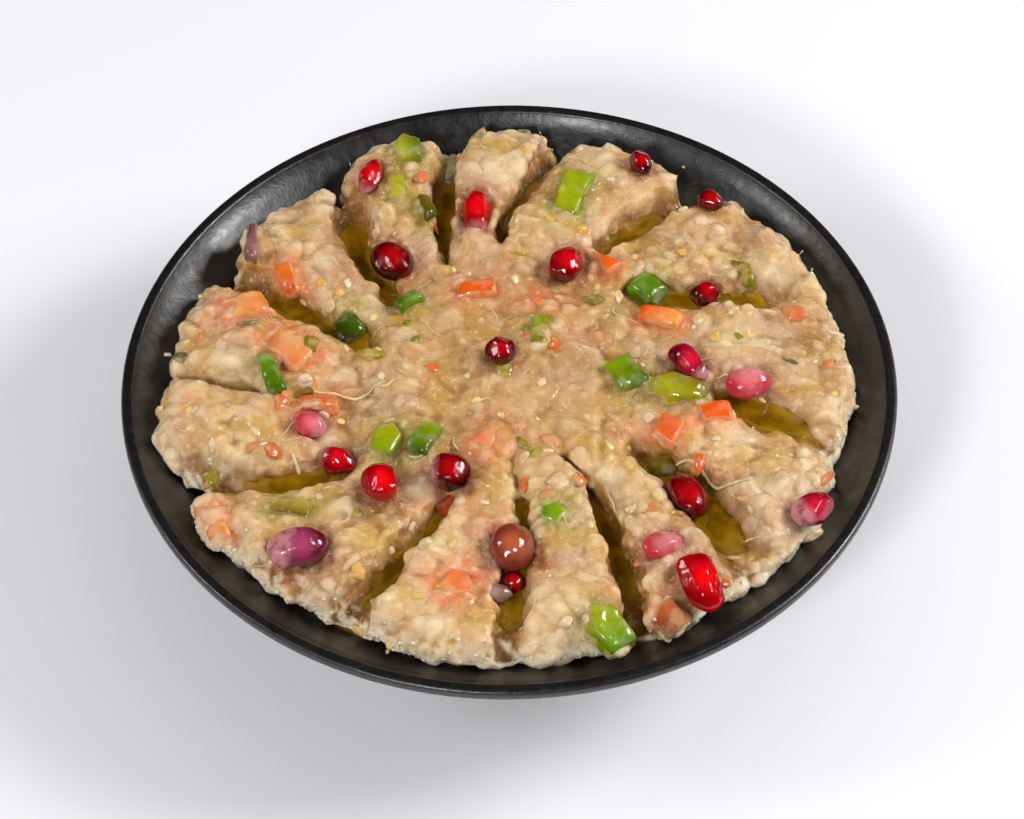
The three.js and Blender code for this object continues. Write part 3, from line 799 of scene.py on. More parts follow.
pool = {"names": ("oil_pool_right", "oil_pool_back", "oil_pool_left"), "voxel": 0.4, "ripples": ((6, 0.06),)}
oilShape = {  # mm
    "thickness": 2.4,  # of the sheets, most of it inside the dip
    "ripple": 0.12,
    "deep": 3.6,  # the depth at which it hides what is under it
    "lengthSteps": 26,
    "widthSteps": 8,
    "spread": 0.72,  # how far a sheet reaches aside, as a share of its width
    "outerDrop": 3,  # where a sheet runs out
    "lap": 0.35,  # how far it climbs at its sides
    # places along each furrow from its inner end outwards, then the widths and the levels against the rim
    "sheets": (
        {"route": ((34, 42), (52, 28.5), (66, 23)), "width": (11, 12), "level": (-1.4, -1.2)},
        {"route": ((42, 64), (66, 55)), "width": (6, 11), "level": (-2.0, -2.2)},
        {"route": ((42, 93), (71, 82)), "width": (5, 10), "level": (-3.7, -4.5)},
        {"route": ((38, 111), (72, 100)), "width": (5, 10), "level": (-3.3, -4.3)},
        {"route": ((36, 135), (50, 130), (67, 123)), "width": (8, 11), "level": (-2.0, -2.9)},
        {"route": ((31, 162), (48, 154), (66, 152)), "width": (10, 10), "level": (-1.7, -1.8)},
        {"route": ((33, 189), (55, 182), (71, 178)), "width": (4, 5), "level": (0.3, -0.1)},
        {"route": ((38, 215), (57, 208), (66, 202)), "width": (8, 11), "level": (-0.6, -2.3)},
        {"route": ((33, 250), (56, 243), (70, 241)), "width": (6, 11), "level": (-2.0, -4.0)},
        {"route": ((21, 271), (32, 275), (51, 271), (70, 269)), "width": (6, 9), "level": (0.3, -2.1)},
        {"route": ((24, 299), (37, 300), (65, 293), (71, 292)), "width": (4, 8), "level": (-3.0, -4.9)},
        {"route": ((33, 324), (55, 320), (70, 315)), "width": (10, 14), "level": (-2.0, -1.8)},
        {"route": ((38, 355), (66, 347), (70, 346)), "width": (7, 10), "level": (0.1, -1.7)},
    ),
}


def alongRoute(route, share):
    position = share * (len(route) - 1)
    step = min(int(position), len(route) - 2)
    near, far = route[step], route[step + 1]
    part = position - step
    return near[0] + (far[0] - near[0]) * part, near[1] + (far[1] - near[1]) * part


def oilSheet(sheet, seed):  # a thin uneven slab that lies level across its furrow
    o = oilShape
    bm = bmesh.new()
    bmesh.ops.create_grid(bm, x_segments=o["lengthSteps"], y_segments=o["widthSteps"], size=1)
    narrow, broad = sheet["width"]
    low, high = sheet["level"]
    for vert in bm.verts:
        share = (vert.co.x + 1) / 2
        aside = vert.co.y
        radius, angle = alongRoute(sheet["route"], share)
        wide = narrow + (broad - narrow) * share
        taper = math.sin(math.pi * (0.06 + 0.9 * share)) ** 0.4
        point = fromPolar(radius, angle + math.degrees(aside * o["spread"] * wide * taper / radius))
        level = low + (high - low) * smooth01(0, 1, share) - o["outerDrop"] * smooth01(0.82, 1, share)
        wave = noise.noise(point / (5 * mm) + Vector((seed, 0, 0))) * o["ripple"]
        point.z = rimTop + (level + wave + o["lap"] * aside ** 4) * mm
        vert.co = point
    bmesh.ops.solidify(bm, geom=bm.faces[:], thickness=o["thickness"] * mm)
    bmesh.ops.recalc_face_normals(bm, faces=bm.faces)
    return bm


def paintDepth(mesh):  # how much oil stands under each point, down to the dip
    depths = []
    for point in pointsOf(mesh):
        hit = dipSurface.ray_cast(Vector(point) + Vector((0, 0, 0.0002)), Vector((0, 0, -1)), 0.02)
        depths.append(smooth01(0, oilShape["deep"] * mm, hit[3]) if hit[0] else 0)
    paint(mesh, "depth", np.array(depths, np.float32)[:, None].repeat(3, axis=1))


def makeOil(material):
    joined = bmesh.new()
    for index, sheet in enumerate(oilShape["sheets"]):
        part = toMesh("oilPart", oilSheet(sheet, index * 7.3))
        joined.from_mesh(part)
        bpy.data.meshes.remove(part)
    film = toMesh("oilFilm", joined)
    paintDepth(film)
    place("oilFilm", film, material, "oil")
    for name in pool["names"]:
        mesh = remeshed(toMesh(name, cadCopy(name)), pool["voxel"])
        relax(mesh, 4)
        rippled(mesh, pool["ripples"], 3)
        paintDepth(mesh)
        place("oil" + name[8:].capitalize(), mesh, material, "oil", (name,))


def oliveOil():
    n = Nodes("oliveOil")
    depth, _ = n.attribute("depth")
    cloud = n.noise(170, 3)
    color = n.blend(n.span(cloud, 0.35, 0.7), tint(104, 70, 2), tint(150, 106, 10))
    n.shade(Base_Color=n.blend(n.span(depth["Red"], 0.2, 0.9), tint(186, 140, 30), color))
    n.shade(Alpha=n.span(depth["Red"], 0.0, 0.8, 0.2, 0.88))
    n.shade(Roughness=0.03, Specular_IOR_Level=0.2, Coat_Weight=0.8, Coat_Roughness=0.02)
    n.shade(Normal=n.bump(n.noise(420, 2), 0.1, 0.0003))
    return n.material


makeOil(oliveOil())
print("oil is poured")


# pomegranate seeds

arilColors = {  # the dark colour away from the heart, partly painted shade, the painted lit colour of the heart, how milky
    "bright": (tint(132, 0, 5), tint(228, 5, 18), 0.05),
    "red": (tint(84, 0, 5), tint(208, 4, 20), 0.08),
    "dark": (tint(38, 0, 3), tint(172, 4, 10), 0.05),
    "magenta": (tint(90, 0, 22), tint(204, 22, 54), 0.2),
    "pink": (tint(176, 36, 52), tint(224, 100, 108), 0.3),
    "purple": (tint(78, 6, 24), tint(164, 62, 96), 0.3),
    "lilac": (tint(190, 24, 46), tint(196, 110, 112), 0.25),
    "brown": (tint(116, 38, 26), tint(176, 88, 56), 0.06),
}

arilLooks = {  # colour, flat sides, how far out they lie, narrowing, and the milky end's way and start
    "aril_01": ("bright", 5, 0.86, 0.25, (-0.2, -1, 0, 1.0)),
    "aril_02": ("dark", 4, 0.92, 0.12, None),
    "aril_03": ("bright", 6, 0.82, 0.2, (0, -1, 0.1, 1.05)),
    "aril_04": ("red", 5, 0.85, 0.2, (-0.6, 0.9, 0, 0.95)),
    "aril_05": ("dark", 4, 0.88, 0.15, None),
    "aril_06": ("dark", 4, 0.88, 0.15, None),
    "aril_07": ("dark", 5, 0.86, 0.1, None),
    "aril_08": ("magenta", 6, 0.8, 0.2, (0.7, -0.7, 0, 0.8)),
    "aril_09": ("pink", 5, 0.86, 0.1, (0, 0.2, 1, 0.45)),
    "aril_10": ("dark", 4, 0.9, 0.1, None),
    "aril_11": ("bright", 5, 0.84, 0.1, None),
    "aril_12": ("red", 4, 0.86, 0.3, (-0.9, 0.3, 0.2, 0.6)),
    "aril_13": ("pink", 5, 0.86, 0.1, (1, -0.4, 0.2, 0.35)),
    "aril_14": ("dark", 5, 0.88, 0.1, (-1, 0.1, 0, 0.55)),
    "aril_15": ("purple", 6, 0.84, 0.12, (-0.9, 0.1, 0.1, 0.1)),
    "aril_16": ("brown", 0, 1, 0, None),
    "aril_17": ("dark", 3, 0.9, 0.1, None),
    "aril_18": ("dark", 4, 0.88, 0.15, None),
    "aril_19": ("lilac", 4, 0.86, 0.1, (0.8, 0.6, 0.2, 0.2)),
    "aril_20": ("bright", 7, 0.74, 0.15, None),
    "aril_21": ("magenta", 5, 0.84, 0.2, (-0.8, -0.5, 0.2, 0.4)),
}
arilSlots = {
    "pink": "aril_pink", "lilac": "aril_pink", "magenta": "aril_pink", "brown": "aril_brown",
    "purple": "purple_onion",
}
arilShape = {
    "endFlat": 0.86,  # how far out the flat at the broad end lies
    "round": 0.06,  # from a flat side to the round
    "swell": 1.06,
    "dents": 0.05,
    "paleBlur": 0.35,
    "heartWay": (0, -0.55, 0.83),  # where the light gathers inside
    "heart": (0.08, 0.1, 0.06),
    "heartSize": 0.75,
}


def arilSkin(name, deep, lit, milky):
    n = Nodes(name)
    pale, _ = n.attribute("pale")  # red: the milky membrane, green: the lit heart
    cloud = n.span(n.noise(150, 2, 0.5, 0.3), 0.34, 0.62, 0, 0.25)
    # painted light: the heart's lit colour over the dark colour, which is partly painted shade
    color = n.blend(n.calc("ADD", cloud, pale["Green"]), deep, lit)
    frost = n.span(n.noise(480, 3, 0.6), 0.32, 0.6, 0.35, 1.0)
    color = n.blend(n.times(pale["Red"], frost, 0.75), color, tint(208, 140, 144))
    speck = n.span(n.noise(600, 3), 0.6, 0.78, 0, milky)
    color = n.blend(speck, color, tint(240, 180, 170))
    n.shade(Base_Color=color, Roughness=0.2, Specular_IOR_Level=0.1)
    n.shade(Subsurface_Weight=0.4, Subsurface_Scale=0.002, Subsurface_Radius=(1.0, 0.12, 0.1))
    n.shade(Coat_Weight=1.0, Coat_Roughness=0.03, Coat_IOR=1.45)
    wobble = n.bump(n.noise(330, 1, 0.5, 0.4), 0.8, 0.0008)
    n.shade(Normal=n.bump(n.noise(700, 2), 0.2, 0.0003), Coat_Normal=wobble)
    return n.material


def flatSides(count, out, rng):  # each flat side's way and how far out it lies
    flats = []
    for k in range(count):
        turn = math.tau * (k + 0.35 * rng.random()) / count + 0.4
        way = Vector((rng.uniform(-0.35, 0.45), math.cos(turn), math.sin(turn))).normalized()
        flats.append((way, out + rng.uniform(-0.04, 0.03)))
    end = Vector((1, rng.uniform(-0.3, 0.3), rng.uniform(-0.3, 0.3))).normalized()
    return flats + [(end, arilShape["endFlat"])]


def paintAril(mesh, centre, half, milky):
    local = (pointsOf(mesh) - centre) / half.mean()
    pale = np.zeros((len(local), 3), np.float32)
    if milky:
        *way, start = milky
        along = local @ (np.array(way) / np.linalg.norm(way))
        pale[:, 0] = np.clip((along - start) / arilShape["paleBlur"], 0, 1)
    # the heart is painted light, a lighter core towards heartWay
    way = np.array(arilShape["heartWay"])
    facing = local @ way
    heart = facing[:, None] * way + np.array(arilShape["heart"])
    away = np.linalg.norm(local - heart, axis=1) / arilShape["heartSize"]
    pale[:, 1] = np.clip(1.15 - away, 0, 1) * (facing > 0)
    paint(mesh, "pale", pale)


def makeAril(name, color, flatCount, out, taper, milky):
    rng = random.Random(name)
    centre, axes, half = toppingShapes[name]
    bm = bmesh.new()
    bmesh.ops.create_icosphere(bm, subdivisions=5, radius=1)
    flats = flatSides(flatCount, out, rng)
    turn = Matrix(axes.tolist())
    shift = Vector((rng.random() * 9, 0, 0))
    near = arilShape["round"]
    for vert in bm.verts:
        p = vert.co.copy()
        for way, limit in flats if flatCount else ():
            over = p.dot(way) - limit
            if over > -near:
                p -= way * 0.9 * (over + near) ** 2 / (abs(over) + 2 * near)
        narrow = 1 - taper * smooth01(0.2, -1, p.x)
        p = Vector((p.x, p.y * narrow, p.z * narrow))
        p *= arilShape["swell"] + arilShape["dents"] * noise.noise(p * 1.6 + shift)
        vert.co = turn @ Vector((p.x * half[0], p.y * half[1], p.z * half[2])) + Vector(centre)
    bmesh.ops.recalc_face_normals(bm, faces=bm.faces)
    mesh = toMesh(name + "Skin", bm)
    paintAril(mesh, centre, half, milky)
    place("seed" + name[5:], mesh, arilMaterials[color], arilSlots.get(color, "aril"), (name,))


arilMaterials = {key: arilSkin("arilSkin" + key.capitalize(), *values) for key, values in arilColors.items()}
for name, look in arilLooks.items():
    makeAril(name, *look)
print("pomegranate seeds are set")


# pepper, tomato, carrot and onion pieces

cutColors = {
    "night": tint(38, 44, 4),
    "deep": tint(72, 74, 6),
    "green": tint(74, 104, 3),
    "vivid": tint(96, 142, 4),
    "bright": tint(132, 154, 8),
    "lime": tint(168, 164, 16),
    "straw": tint(180, 160, 66),
    "olive": tint(120, 98, 12),
    "orange": tint(228, 84, 10),
    "coral": tint(224, 92, 20),
    "salmon": tint(228, 122, 52),
    "rose": tint(220, 116, 70),
    "peach": tint(232, 156, 80),
    "rust": tint(196, 74, 8),
    "brown": tint(116, 46, 8),
    "plum": tint(64, 24, 36),
    "mauve": tint(196, 138, 128),
    "dusk": tint(150, 98, 102),
}

cutLooks = {  # from one colour to another, and the way between them in degrees from +X
    "pepper_tip": ("green", "lime", -156),
    "pepper_slit": ("deep", "olive", 120),
    "pepper_lobe": ("bright", "lime", 173),
    "pepper_left": ("night", "green", 41),
    "pepper_upper": ("deep", "vivid", -29),
    "pepper_stick": ("green", "vivid", 120),
    "pepper_bright": ("bright", "lime", 84),
    "pepper_cut": ("green", "bright", 75),
    "pepper_hub": ("olive", "bright", 145),
    "pepper_cube": ("green", "bright", 150),
    "pepper_lime": ("olive", "lime", -130),
    "pepper_back": ("green", "vivid", 144),
    "pepper_round": ("vivid", "bright", 5),
    "pepper_front": ("vivid", "lime", 134),
    "pepper_pale": ("lime", "straw", -171),
    "pepper_pool": ("deep", "olive", 95),
    "pepper_olive": ("olive", "straw", 79),
    "tomato_left": ("salmon", "peach", 138),
    "tomato_pink": ("rose", "peach", 40),
    "tomato_stick": ("rust", "coral", -25),
    "tomato_upper": ("orange", "coral", -97),
    "tomato_hub": ("coral", "salmon", -146),
    "tomato_back": ("coral", "coral", -48),
    "tomato_wedge": ("orange", "orange", -137),
    "tomato_inner": ("orange", "rose", 44),
    "tomato_front": ("coral", "rose", -147),
    "tomato_edge": ("rust", "peach", 26),
    "tomato_lobe": ("rose", "salmon", -170),
    "tomato_slope": ("rust", "salmon", 126),
    "tomato_groove": ("brown", "rust", -17),
    "tomato_bottom": ("brown", "rose", 79),
    "carrot_back": ("orange", "peach", -60),
    "onion_strip": ("plum", "dusk", -10),
    "onion_oval": ("plum", "mauve", 178),
}
cutShape = {  # mm
    "voxel": 0.36,
    "ripples": ((5.0, 0.42), (2.2, 0.16)),
    "bend": 22,  # the arch along a piece, over its length squared in metres
}
cutKinds = {  # slot, rounds of smoothing, how far up the dip's colour creeps, how much the edges take on
    "pepper": ("green_pepper", 7, 0.5, 0.0),
    "tomato": ("tomato", 14, 0.6, 0.7),
    "carrot": ("carrot", 10, 0.6, 0.5),
    "onion": ("purple_onion", 7, 0.6, 0.3),
}


def cutFlesh():
    n = Nodes("cutFlesh")
    side, _ = n.attribute("side")  # red: towards the outline, green: towards the dip
    skin = n.add("ShaderNodeAttribute", attribute_name="skin").outputs["Color"]
    streak = n.noise(500, 3, 0.6, 0.5)
    blotch = n.noise(240, 2, 0.5)
    color = n.blend(n.span(blotch, 0.45, 0.7, 0, 0.4), skin, n.blend(0.45, skin, dipColors["white"]))
    color = n.blend(n.span(streak, 0.5, 0.75, 0, 0.35), color, (0.35, 0.35, 0.3), "MULTIPLY")
    # painted contact shade, darkening each piece towards its outline
    rim = n.times(n.span(side["Red"], 0.6, 1.0), n.span(streak, 0.3, 0.7, 0.1, 0.5))
    color = n.blend(rim, color, (0.5, 0.45, 0.35), "MULTIPLY")
    ragged = n.times(n.calc("SUBTRACT", n.noise(420, 3, 0.6), 0.5), 1.3)
    buried = n.span(n.calc("ADD", side["Green"], ragged), 0.3, 0.8)
    softened = n.blend(0.45, skin, dipColors["cream"])
    color = n.blend(n.times(buried, n.span(side["Green"], 0.0, 0.3)), color, softened)
    n.shade(Base_Color=color, Roughness=n.span(streak, 0.3, 0.7, 0.2, 0.36), Specular_IOR_Level=0.1)
    n.shade(Subsurface_Weight=0.4, Subsurface_Scale=0.0018, Subsurface_Radius=(0.8, 0.7, 0.12))
    n.shade(Coat_Weight=0.9, Coat_Roughness=0.05, Coat_IOR=1.45)
    n.shade(Normal=n.bump(streak, 0.4, 0.0005), Coat_Normal=n.bump(n.noise(360, 2), 0.7, 0.0008))
    return n.material


def makeCut(name, first, second, way, material, seed):
    centre, axes, half = toppingShapes[name]
    kind, rest = name.split("_")
    slot, smoothing, creep, faded = cutKinds[kind]
    mesh = remeshed(toMesh(name, cadCopy(name)), cutShape["voxel"])
    relax(mesh, smoothing, 0.6)
    rippled(mesh, cutShape["ripples"], seed)
    points = pointsOf(mesh)
    local = (points - centre) @ axes
    arch = cutShape["bend"] * local[:, 0] ** 2
    local[:, 2] -= arch - arch.mean()
    setPoints(mesh, local @ axes.T + centre)

    # closeness to the outline, for the painted contact shade there
    rim = np.clip(np.maximum(np.abs(local[:, 0]) / half[0], np.abs(local[:, 1]) / half[1]), 0, 1)
    sunk = np.array([dipSurface.find_nearest(Vector(p))[3] for p in points]) / (creep * mm)
    slant = np.clip((1 - normalsOf(mesh) @ axes[:, 2] - 0.02) / 0.3, 0, 1) * faded
    dipward = np.maximum(np.clip(1.15 - sunk, 0, 1), slant) * (name not in looseToppings)
    paint(mesh, "side", np.stack([rim, dipward], axis=1))
    along = (points - centre)[:, :2] @ np.array((math.cos(math.radians(way)), math.sin(math.radians(way))))
    share = np.clip(0.5 + 0.6 * along / np.abs(along).max(), 0, 1)[:, None]
    paint(mesh, "skin", np.array(cutColors[first]) * (1 - share) + np.array(cutColors[second]) * share)
    place(kind + rest.capitalize(), mesh, material, slot, (name,))


flesh = cutFlesh()
for index, (name, look) in enumerate(cutLooks.items()):
    makeCut(name, *look, flesh, index)
print("cut pieces are set")


# what is finer: seeds, bits of onion, pepper and tomato, grains and strands

bitKinds = {  # places tried, size in mm, flatness, how far out they stand, how rough they are, slot
    "whiteBits": (140, (0.6, 1.3), 0.45, 0.0, 0.25, "aubergine_dip"),
    "yellowSeeds": (68, (0.8, 1.15), 0.4, 0.1, 0.08, "aubergine_dip"),
    "pepperBits": (32, (0.6, 1.5), 0.5, 0.0, 0.3, "green_pepper"),
    "tomatoBits": (44, (0.8, 2.2), 0.4, -0.1, 0.35, "tomato"),
}
bitColors = {
    "whiteBits": (tint(232, 208, 172), tint(220, 186, 136)),
    "yellowSeeds": (tint(230, 194, 110), tint(240, 216, 150)),
    "pepperBits": (tint(110, 122, 12), tint(150, 146, 30)),
    "tomatoBits": (tint(212, 96, 36), tint(216, 136, 88)),
}
bitFloor = 37.5  # mm, none lies lower than this, down in the furrows
edgeGrains = {  # size and heights in mm, and the arc in degrees
    "tried": 28800, "size": (0.2, 0.52), "from": 190, "to": 378, "height": (31, 41.5),
    "colors": (tint(240, 226, 200), tint(228, 206, 170)),
}


def onSurface(x, y):
    point, normal, _, _ = dipSurface.ray_cast(Vector((x, y, 0.08)), Vector((0, 0, -1)))
    if point is None:
        point, normal, _, _ = dipSurface.find_nearest(Vector((x, y, 0.036)))
    return point, normal


def lumpTemplate(subdivisions, rough, seed):
    mesh = ballTemplate(subdivisions)
    points = pointsOf(mesh)
    shift = Vector((seed * 5.1, 0, 0))
    swell = np.array([1 + rough * noise.noise(Vector(p) * 1.3 + shift) * 1.8 for p in points])
    setPoints(mesh, points * swell[:, None])
    return mesh


def bitMatrix(point, normal, rng, size, flat, rise):
    long = size * rng.uniform(1.0, 1.5)
    scale = Matrix.Diagonal((long * mm, size * mm, size * flat * mm, 1))
    tilt = Matrix.Rotation(rng.gauss(0, 0.3), 4, "X")
    at = Matrix.Translation(point + normal * size * flat * (rise - 0.5) * mm)
    return at @ turned(normal, outwards(point, rng, 1.5)) @ tilt @ scale


def joinBits(name, matrices, templates, material, slot, rng):
    bm = bmesh.new()
    tones = []
    for index, matrix in enumerate(matrices):
        template = templates[index % len(templates)]
        addCopies(bm, template, [matrix])
        tones += [rng.random()] * len(template.vertices)
    mesh = toMesh(name, bm)
    paint(mesh, "tone", np.array(tones, np.float32)[:, None].repeat(3, axis=1))
    return place(name, mesh, material, slot)


def bitSkin(name, first, second, milky=0.6, coat=0.9):
    n = Nodes(name)
    tone, _ = n.attribute("tone")
    color = n.blend(n.span(tone["Red"], 0, 1), first, second)
    color = n.blend(n.span(n.noise(400, 3), 0.42, 0.68, 0, 0.75), color, dipColors["base"])
    n.shade(Base_Color=color, Roughness=0.25, Specular_IOR_Level=0.1)
    n.shade(Subsurface_Weight=milky, Subsurface_Scale=0.001, Subsurface_Radius=(1.0, 0.85, 0.65))
    n.shade(Coat_Weight=coat, Coat_Roughness=0.06, Normal=n.bump(n.noise(1100, 2), 0.25, 0.0002))
    return n.material


scraps = {  # place, then length, width and thickness in mm, and turn
    "pepperScraps": (
        (30, 50, 6.5, 4.6, 2.2, 100), (61, 29.5, 7.5, 4.2, 2.2, 110), (31, 168.5, 5, 3.4, 2, 170),
        (1.2, 160, 4.6, 4, 2.4, 60), (68, 200, 5, 4, 2.4, 20), (44.4, 168, 4.2, 3.4, 1.8, 90),
        (20.4, 279, 7, 2.4, 1.6, 120), (24, 283, 4, 2, 1.4, 60),
    ),
    "tomatoScraps": (
        (54.7, 203, 6, 3.6, 2, 20), (29.7, 276, 5, 3.6, 2.4, 90), (65.8, 15.4, 5.4, 3.8, 1.8, 150),
        (12.8, 36.4, 4.2, 3.8, 2, 30), (63.6, 108, 5, 3.4, 1.8, 100), (73.1, 337.4, 5, 2, 1.6, 45),
        (47.9, 309, 3, 2.2, 1.4, 20), (49.7, 187.4, 5, 4.4, 2, 60), (48.7, 294.7, 5, 2.2, 1.4, 120),
    ),
    "whiteScraps": (
        (67.8, 283.5, 3, 2.8, 2.6, 0), (68, 279.5, 2.8, 2.8, 2, 0), (68.7, 298.2, 3, 2, 1.6, 0),
        (64, 51, 3, 2.6, 2.2, 0), (32.5, 338, 3, 2.8, 2.2, 0), (76, 327.7, 4.6, 4.2, 3, 30),
        (69.3, 127, 5, 4.6, 3.6, 20), (44.6, 181, 4, 3.2, 2.2, 0), (45, 21, 3, 2.6, 1.8, 0),
        (43.9, 48, 4, 3, 2, 40), (24, 277, 3.4, 2.4, 1.8, 60), (24, 290, 3, 1.8, 1.4, 20),
        (41, 193, 3, 2.8, 2, 0), (35, 45, 3.4, 2.6, 1.8, 60), (46, 150.5, 3, 3, 2, 0),
        (73.6, 10.6, 5, 1.2, 1.2, 10), (76, 356.3, 5, 1.2, 1.2, 350),
    ),
    "skinScraps": (
        (70.8, 100.3, 7, 4, 2.2, 80), (75.5, 95.2, 6, 4, 2, 60), (75.3, 81.2, 6, 3.4, 2, 110),
        (77, 86.5, 4, 3, 1.6, 30), (72.8, 173.6, 5, 3.4, 1.8, 120), (60.3, 164, 5, 1.4, 1.2, 20),
        (61.4, 3, 4, 1.2, 1, 150),
    ),
    "yellowScraps": (
        (45.4, 146, 3, 2.6, 1.4, 60), (50, 146.5, 2.8, 2.2, 1.2, 0), (53.4, 42.4, 2.4, 2.4, 1.4, 0),
        (47, 78, 2.6, 2.2, 1.4, 20), (46, 68.7, 3.2, 3, 2, 0), (31.6, 9, 3, 2.6, 1.6, 120),
        (46.8, 13, 2.6, 3, 1.6, 0), (61.4, 239, 3.8, 3.8, 3.4, 0), (62.8, 252, 3.4, 1.6, 1.4, 10),
        (73.3, 242, 4, 1.8, 1.4, 170), (59, 256, 3, 1.6, 1.2, 20),
    ),
}
scrapSkins = {  # colours, slot
    "pepperScraps": (tint(112, 110, 14), tint(150, 144, 24), "green_pepper"),
    "tomatoScraps": (tint(206, 96, 34), tint(212, 124, 78), "tomato"),
    "whiteScraps": (tint(216, 184, 142), tint(226, 200, 168), "aubergine_dip"),
    "skinScraps": (tint(92, 92, 60), tint(146, 142, 104), "aubergine_dip"),
    "yellowScraps": (tint(214, 164, 66), tint(222, 184, 100), "aubergine_dip"),
}


def makeScraps():
    for index, (name, places) in enumerate(scraps.items()):
        rng = random.Random(90 + index)
        templates = [lumpTemplate(3, 0.28, index * 4 + k) for k in range(4)]
        matrices = []
        for radius, angle, long, wide, thick, turn in places:
            start = fromPolar(radius, angle)
            point, normal = onSurface(start.x, start.y)
            heading = Vector((math.cos(math.radians(turn)), math.sin(math.radians(turn)), 0))
            scale = Matrix.Diagonal((0.5 * long * mm, 0.5 * wide * mm, 0.5 * thick * mm, 1))
            at = Matrix.Translation(point - normal * 0.12 * thick * mm)
            matrices.append(at @ turned(normal, heading) @ scale)
        first, second, slot = scrapSkins[name]
        joinBits(name, matrices, templates, bitSkin(name + "Skin", first, second), slot, rng)


def makeBits(whole):
    for index, (name, (tried, sizes, flat, rise, rough, slot)) in enumerate(bitKinds.items()):
        rng = random.Random(40 + index)
        templates = [lumpTemplate(2, rough, index * 10 + k) for k in range(4)]
        matrices = []
        for point, normal in surfaceSamples(whole, tried, rng):
            size = rng.uniform(*sizes)
            patch = noise.noise(point / (14 * mm) + Vector((index * 5, 0, 3)))
            if patch < rng.uniform(-0.5, 0.35) or point.z / mm < bitFloor or nearTopping(point, 0.4 * mm):
                continue
            matrices.append(bitMatrix(point, normal, rng, size, flat, rise))
        joinBits(name, matrices, templates, bitSkin(name + "Skin", *bitColors[name], 0.5), slot, rng)


def makeEdgeGrains(whole):
    e = edgeGrains
    rng = random.Random(77)
    grains = []
    for point, normal in surfaceSamples(whole, e["tried"], rng):
        angle = math.degrees(math.atan2(point.y / mm - hubPlace[1], point.x / mm - hubPlace[0])) % 360
        inArc = e["from"] < angle < e["to"] or angle < e["to"] - 360
        facing = edgeFacing(np.array([point]), np.array([normal]))[0]
        if not inArc or facing < rng.uniform(0.2, 1.0) or point.z / mm > rng.uniform(*e["height"]):
            continue
        grains.append(bitMatrix(point, normal, rng, rng.uniform(*e["size"]), 0.8, 0.25))
    fringe = bitSkin("edgeGrainSkin", *e["colors"], coat=0.15)
    joinBits("edgeGrains", grains, [lumpTemplate(1, 0.3, 5)], fringe, "aubergine_dip", random.Random(78))


makeScraps()
upperDip = bmesh.new()
upperDip.from_mesh(dip.data)
bmesh.ops.triangulate(upperDip, faces=upperDip.faces)
makeBits(upperDip)
makeEdgeGrains(upperDip)
upperDip.free()
print("bits are scattered")


strandShape = {  # mm
    "count": 70, "length": (3, 10), "radius": (0.08, 0.16), "spread": 0.8, "step": 1.2, "rise": 0.05,
    "within": 75,
}
longRoutes = (  # thickness, then places along each
    (0.42, (39.7, 328.6), (46.2, 328.1), (53.4, 326.2), (59.8, 328.4)),
    (0.3, (62.3, 320.6), (64.8, 319.0), (68.8, 319.8)),
    (0.16, (60.5, 238.3), (57.9, 239.3), (55.2, 239.3)),
    (0.36, (43.2, 183.9), (39.3, 186.8), (34.0, 187.5), (27.0, 182.1)),
    (0.13, (71.0, 139.7), (67.5, 141.8), (64.1, 144.1)),
    (0.28, (37.0, 303.6), (40.5, 302.5), (43.9, 301.4)),
    (0.45, (51.2, 204.1), (51.1, 208.4), (50.4, 210.9)),
    (0.2, (51.4, 198.6), (49.5, 196.0), (47.6, 193.9)),
    (0.4, (28.7, 185.0), (27.0, 186.0), (25.0, 182.2)),
    (0.24, (21.1, 235.8), (23.1, 239.8), (24.5, 244.3)),
    (0.3, (10.5, 228.0), (9.1, 230.2), (8.2, 236.2)),
    (0.24, (31.5, 226.7), (30.6, 230.5), (28.8, 233.0)),
    (0.22, (45.0, 358.3), (47.4, 359.1), (50.8, 359.1)),
    (0.22, (24.3, 176.0), (23.3, 178.2), (22.0, 180.7)),
    (0.26, (29.6, 203.2), (28.2, 203.8), (27.5, 205.3)),
    (0.16, (47.2, 63.5), (50.1, 61.2), (55.4, 58.7), (59.7, 57.0)),
)


def addSpline(curve, points, radii):
    spline = curve.splines.new("POLY")
    spline.points.add(len(points) - 1)
    for knot, point, radius in zip(spline.points, points, radii):
        knot.co = (*point, 1)
        knot.radius = radius * mm


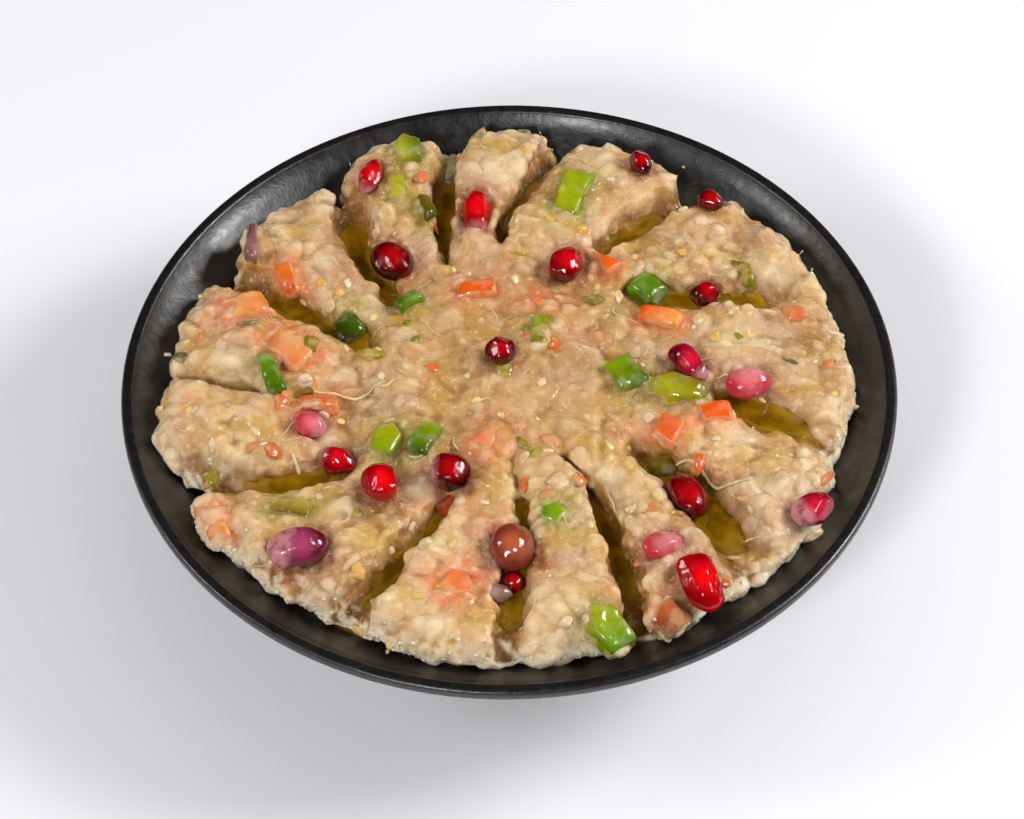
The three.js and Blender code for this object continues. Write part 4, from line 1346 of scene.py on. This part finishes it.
def addStrand(curve, start, heading, length, radius, rng):
    step, rise = strandShape["step"], strandShape["rise"] * mm
    points = []
    x, y = start
    for _ in range(max(int(length / step), 3)):
        point, normal = onSurface(x, y)
        strayed = (point.xy - Vector((x, y))).length > 0.5 * mm
        if strayed or (points and abs(point.z - points[-1].z) > 1.6 * mm):
            break
        points.append(point + normal * rise)
        heading += rng.gauss(0, 0.22)
        x += math.cos(heading) * step * mm
        y += math.sin(heading) * step * mm
    count = len(points)
    if count > 3:
        taper = [0.25 + math.sin(math.pi * (k + 0.5) / count) for k in range(count)]
        addSpline(curve, points, [radius * t for t in taper])


def scatterStrands(curve):
    d = strandShape
    rng = random.Random(61)
    for _ in range(d["count"]):
        radius, angle = d["within"] * math.sqrt(rng.random()), rng.uniform(0, 360)
        start = fromPolar(radius, angle)
        heading = math.radians(angle) + rng.gauss(0, d["spread"]) + (math.pi if rng.random() < 0.5 else 0)
        addStrand(curve, start[:2], heading, rng.uniform(*d["length"]), rng.uniform(*d["radius"]), rng)


def layRoutes(curve):
    steps = 6  # from one place to the next
    for radius, *route in longRoutes:
        corners = [fromPolar(*corner) for corner in route]
        points = []
        for step in range(steps * (len(corners) - 1) + 1):
            first = min(step // steps, len(corners) - 2)
            spot = corners[first].lerp(corners[first + 1], step / steps - first)
            swerve = noise.noise_vector(spot / (4 * mm)) * 0.4 * mm
            hit, normal = onSurface(spot.x + swerve.x, spot.y + swerve.y)
            points.append(hit + normal * 0.4 * radius * mm)
        count = len(points)
        taper = [math.sin(math.pi * (k + 0.6) / (count + 0.2)) ** 0.5 for k in range(count)]
        addSpline(curve, points, [radius * t for t in taper])


def makeStrands(name, lay, material):
    curve = bpy.data.curves.new(name, "CURVE")
    curve.dimensions = "3D"
    curve.bevel_depth = 1
    curve.bevel_resolution = 1
    curve.use_fill_caps = True
    lay(curve)
    mesh = evaluated(asObject(curve))
    mesh.name = name
    paint(mesh, "tone", np.full((len(mesh.vertices), 3), 0.4, np.float32))
    place(name, mesh, material, "aubergine_dip")


strandSkin = bitSkin("strandSkin", tint(226, 200, 156), tint(220, 190, 140))
makeStrands("paleStrands", scatterStrands, strandSkin)
makeStrands("longStrands", layRoutes, strandSkin)
print("strands are laid")
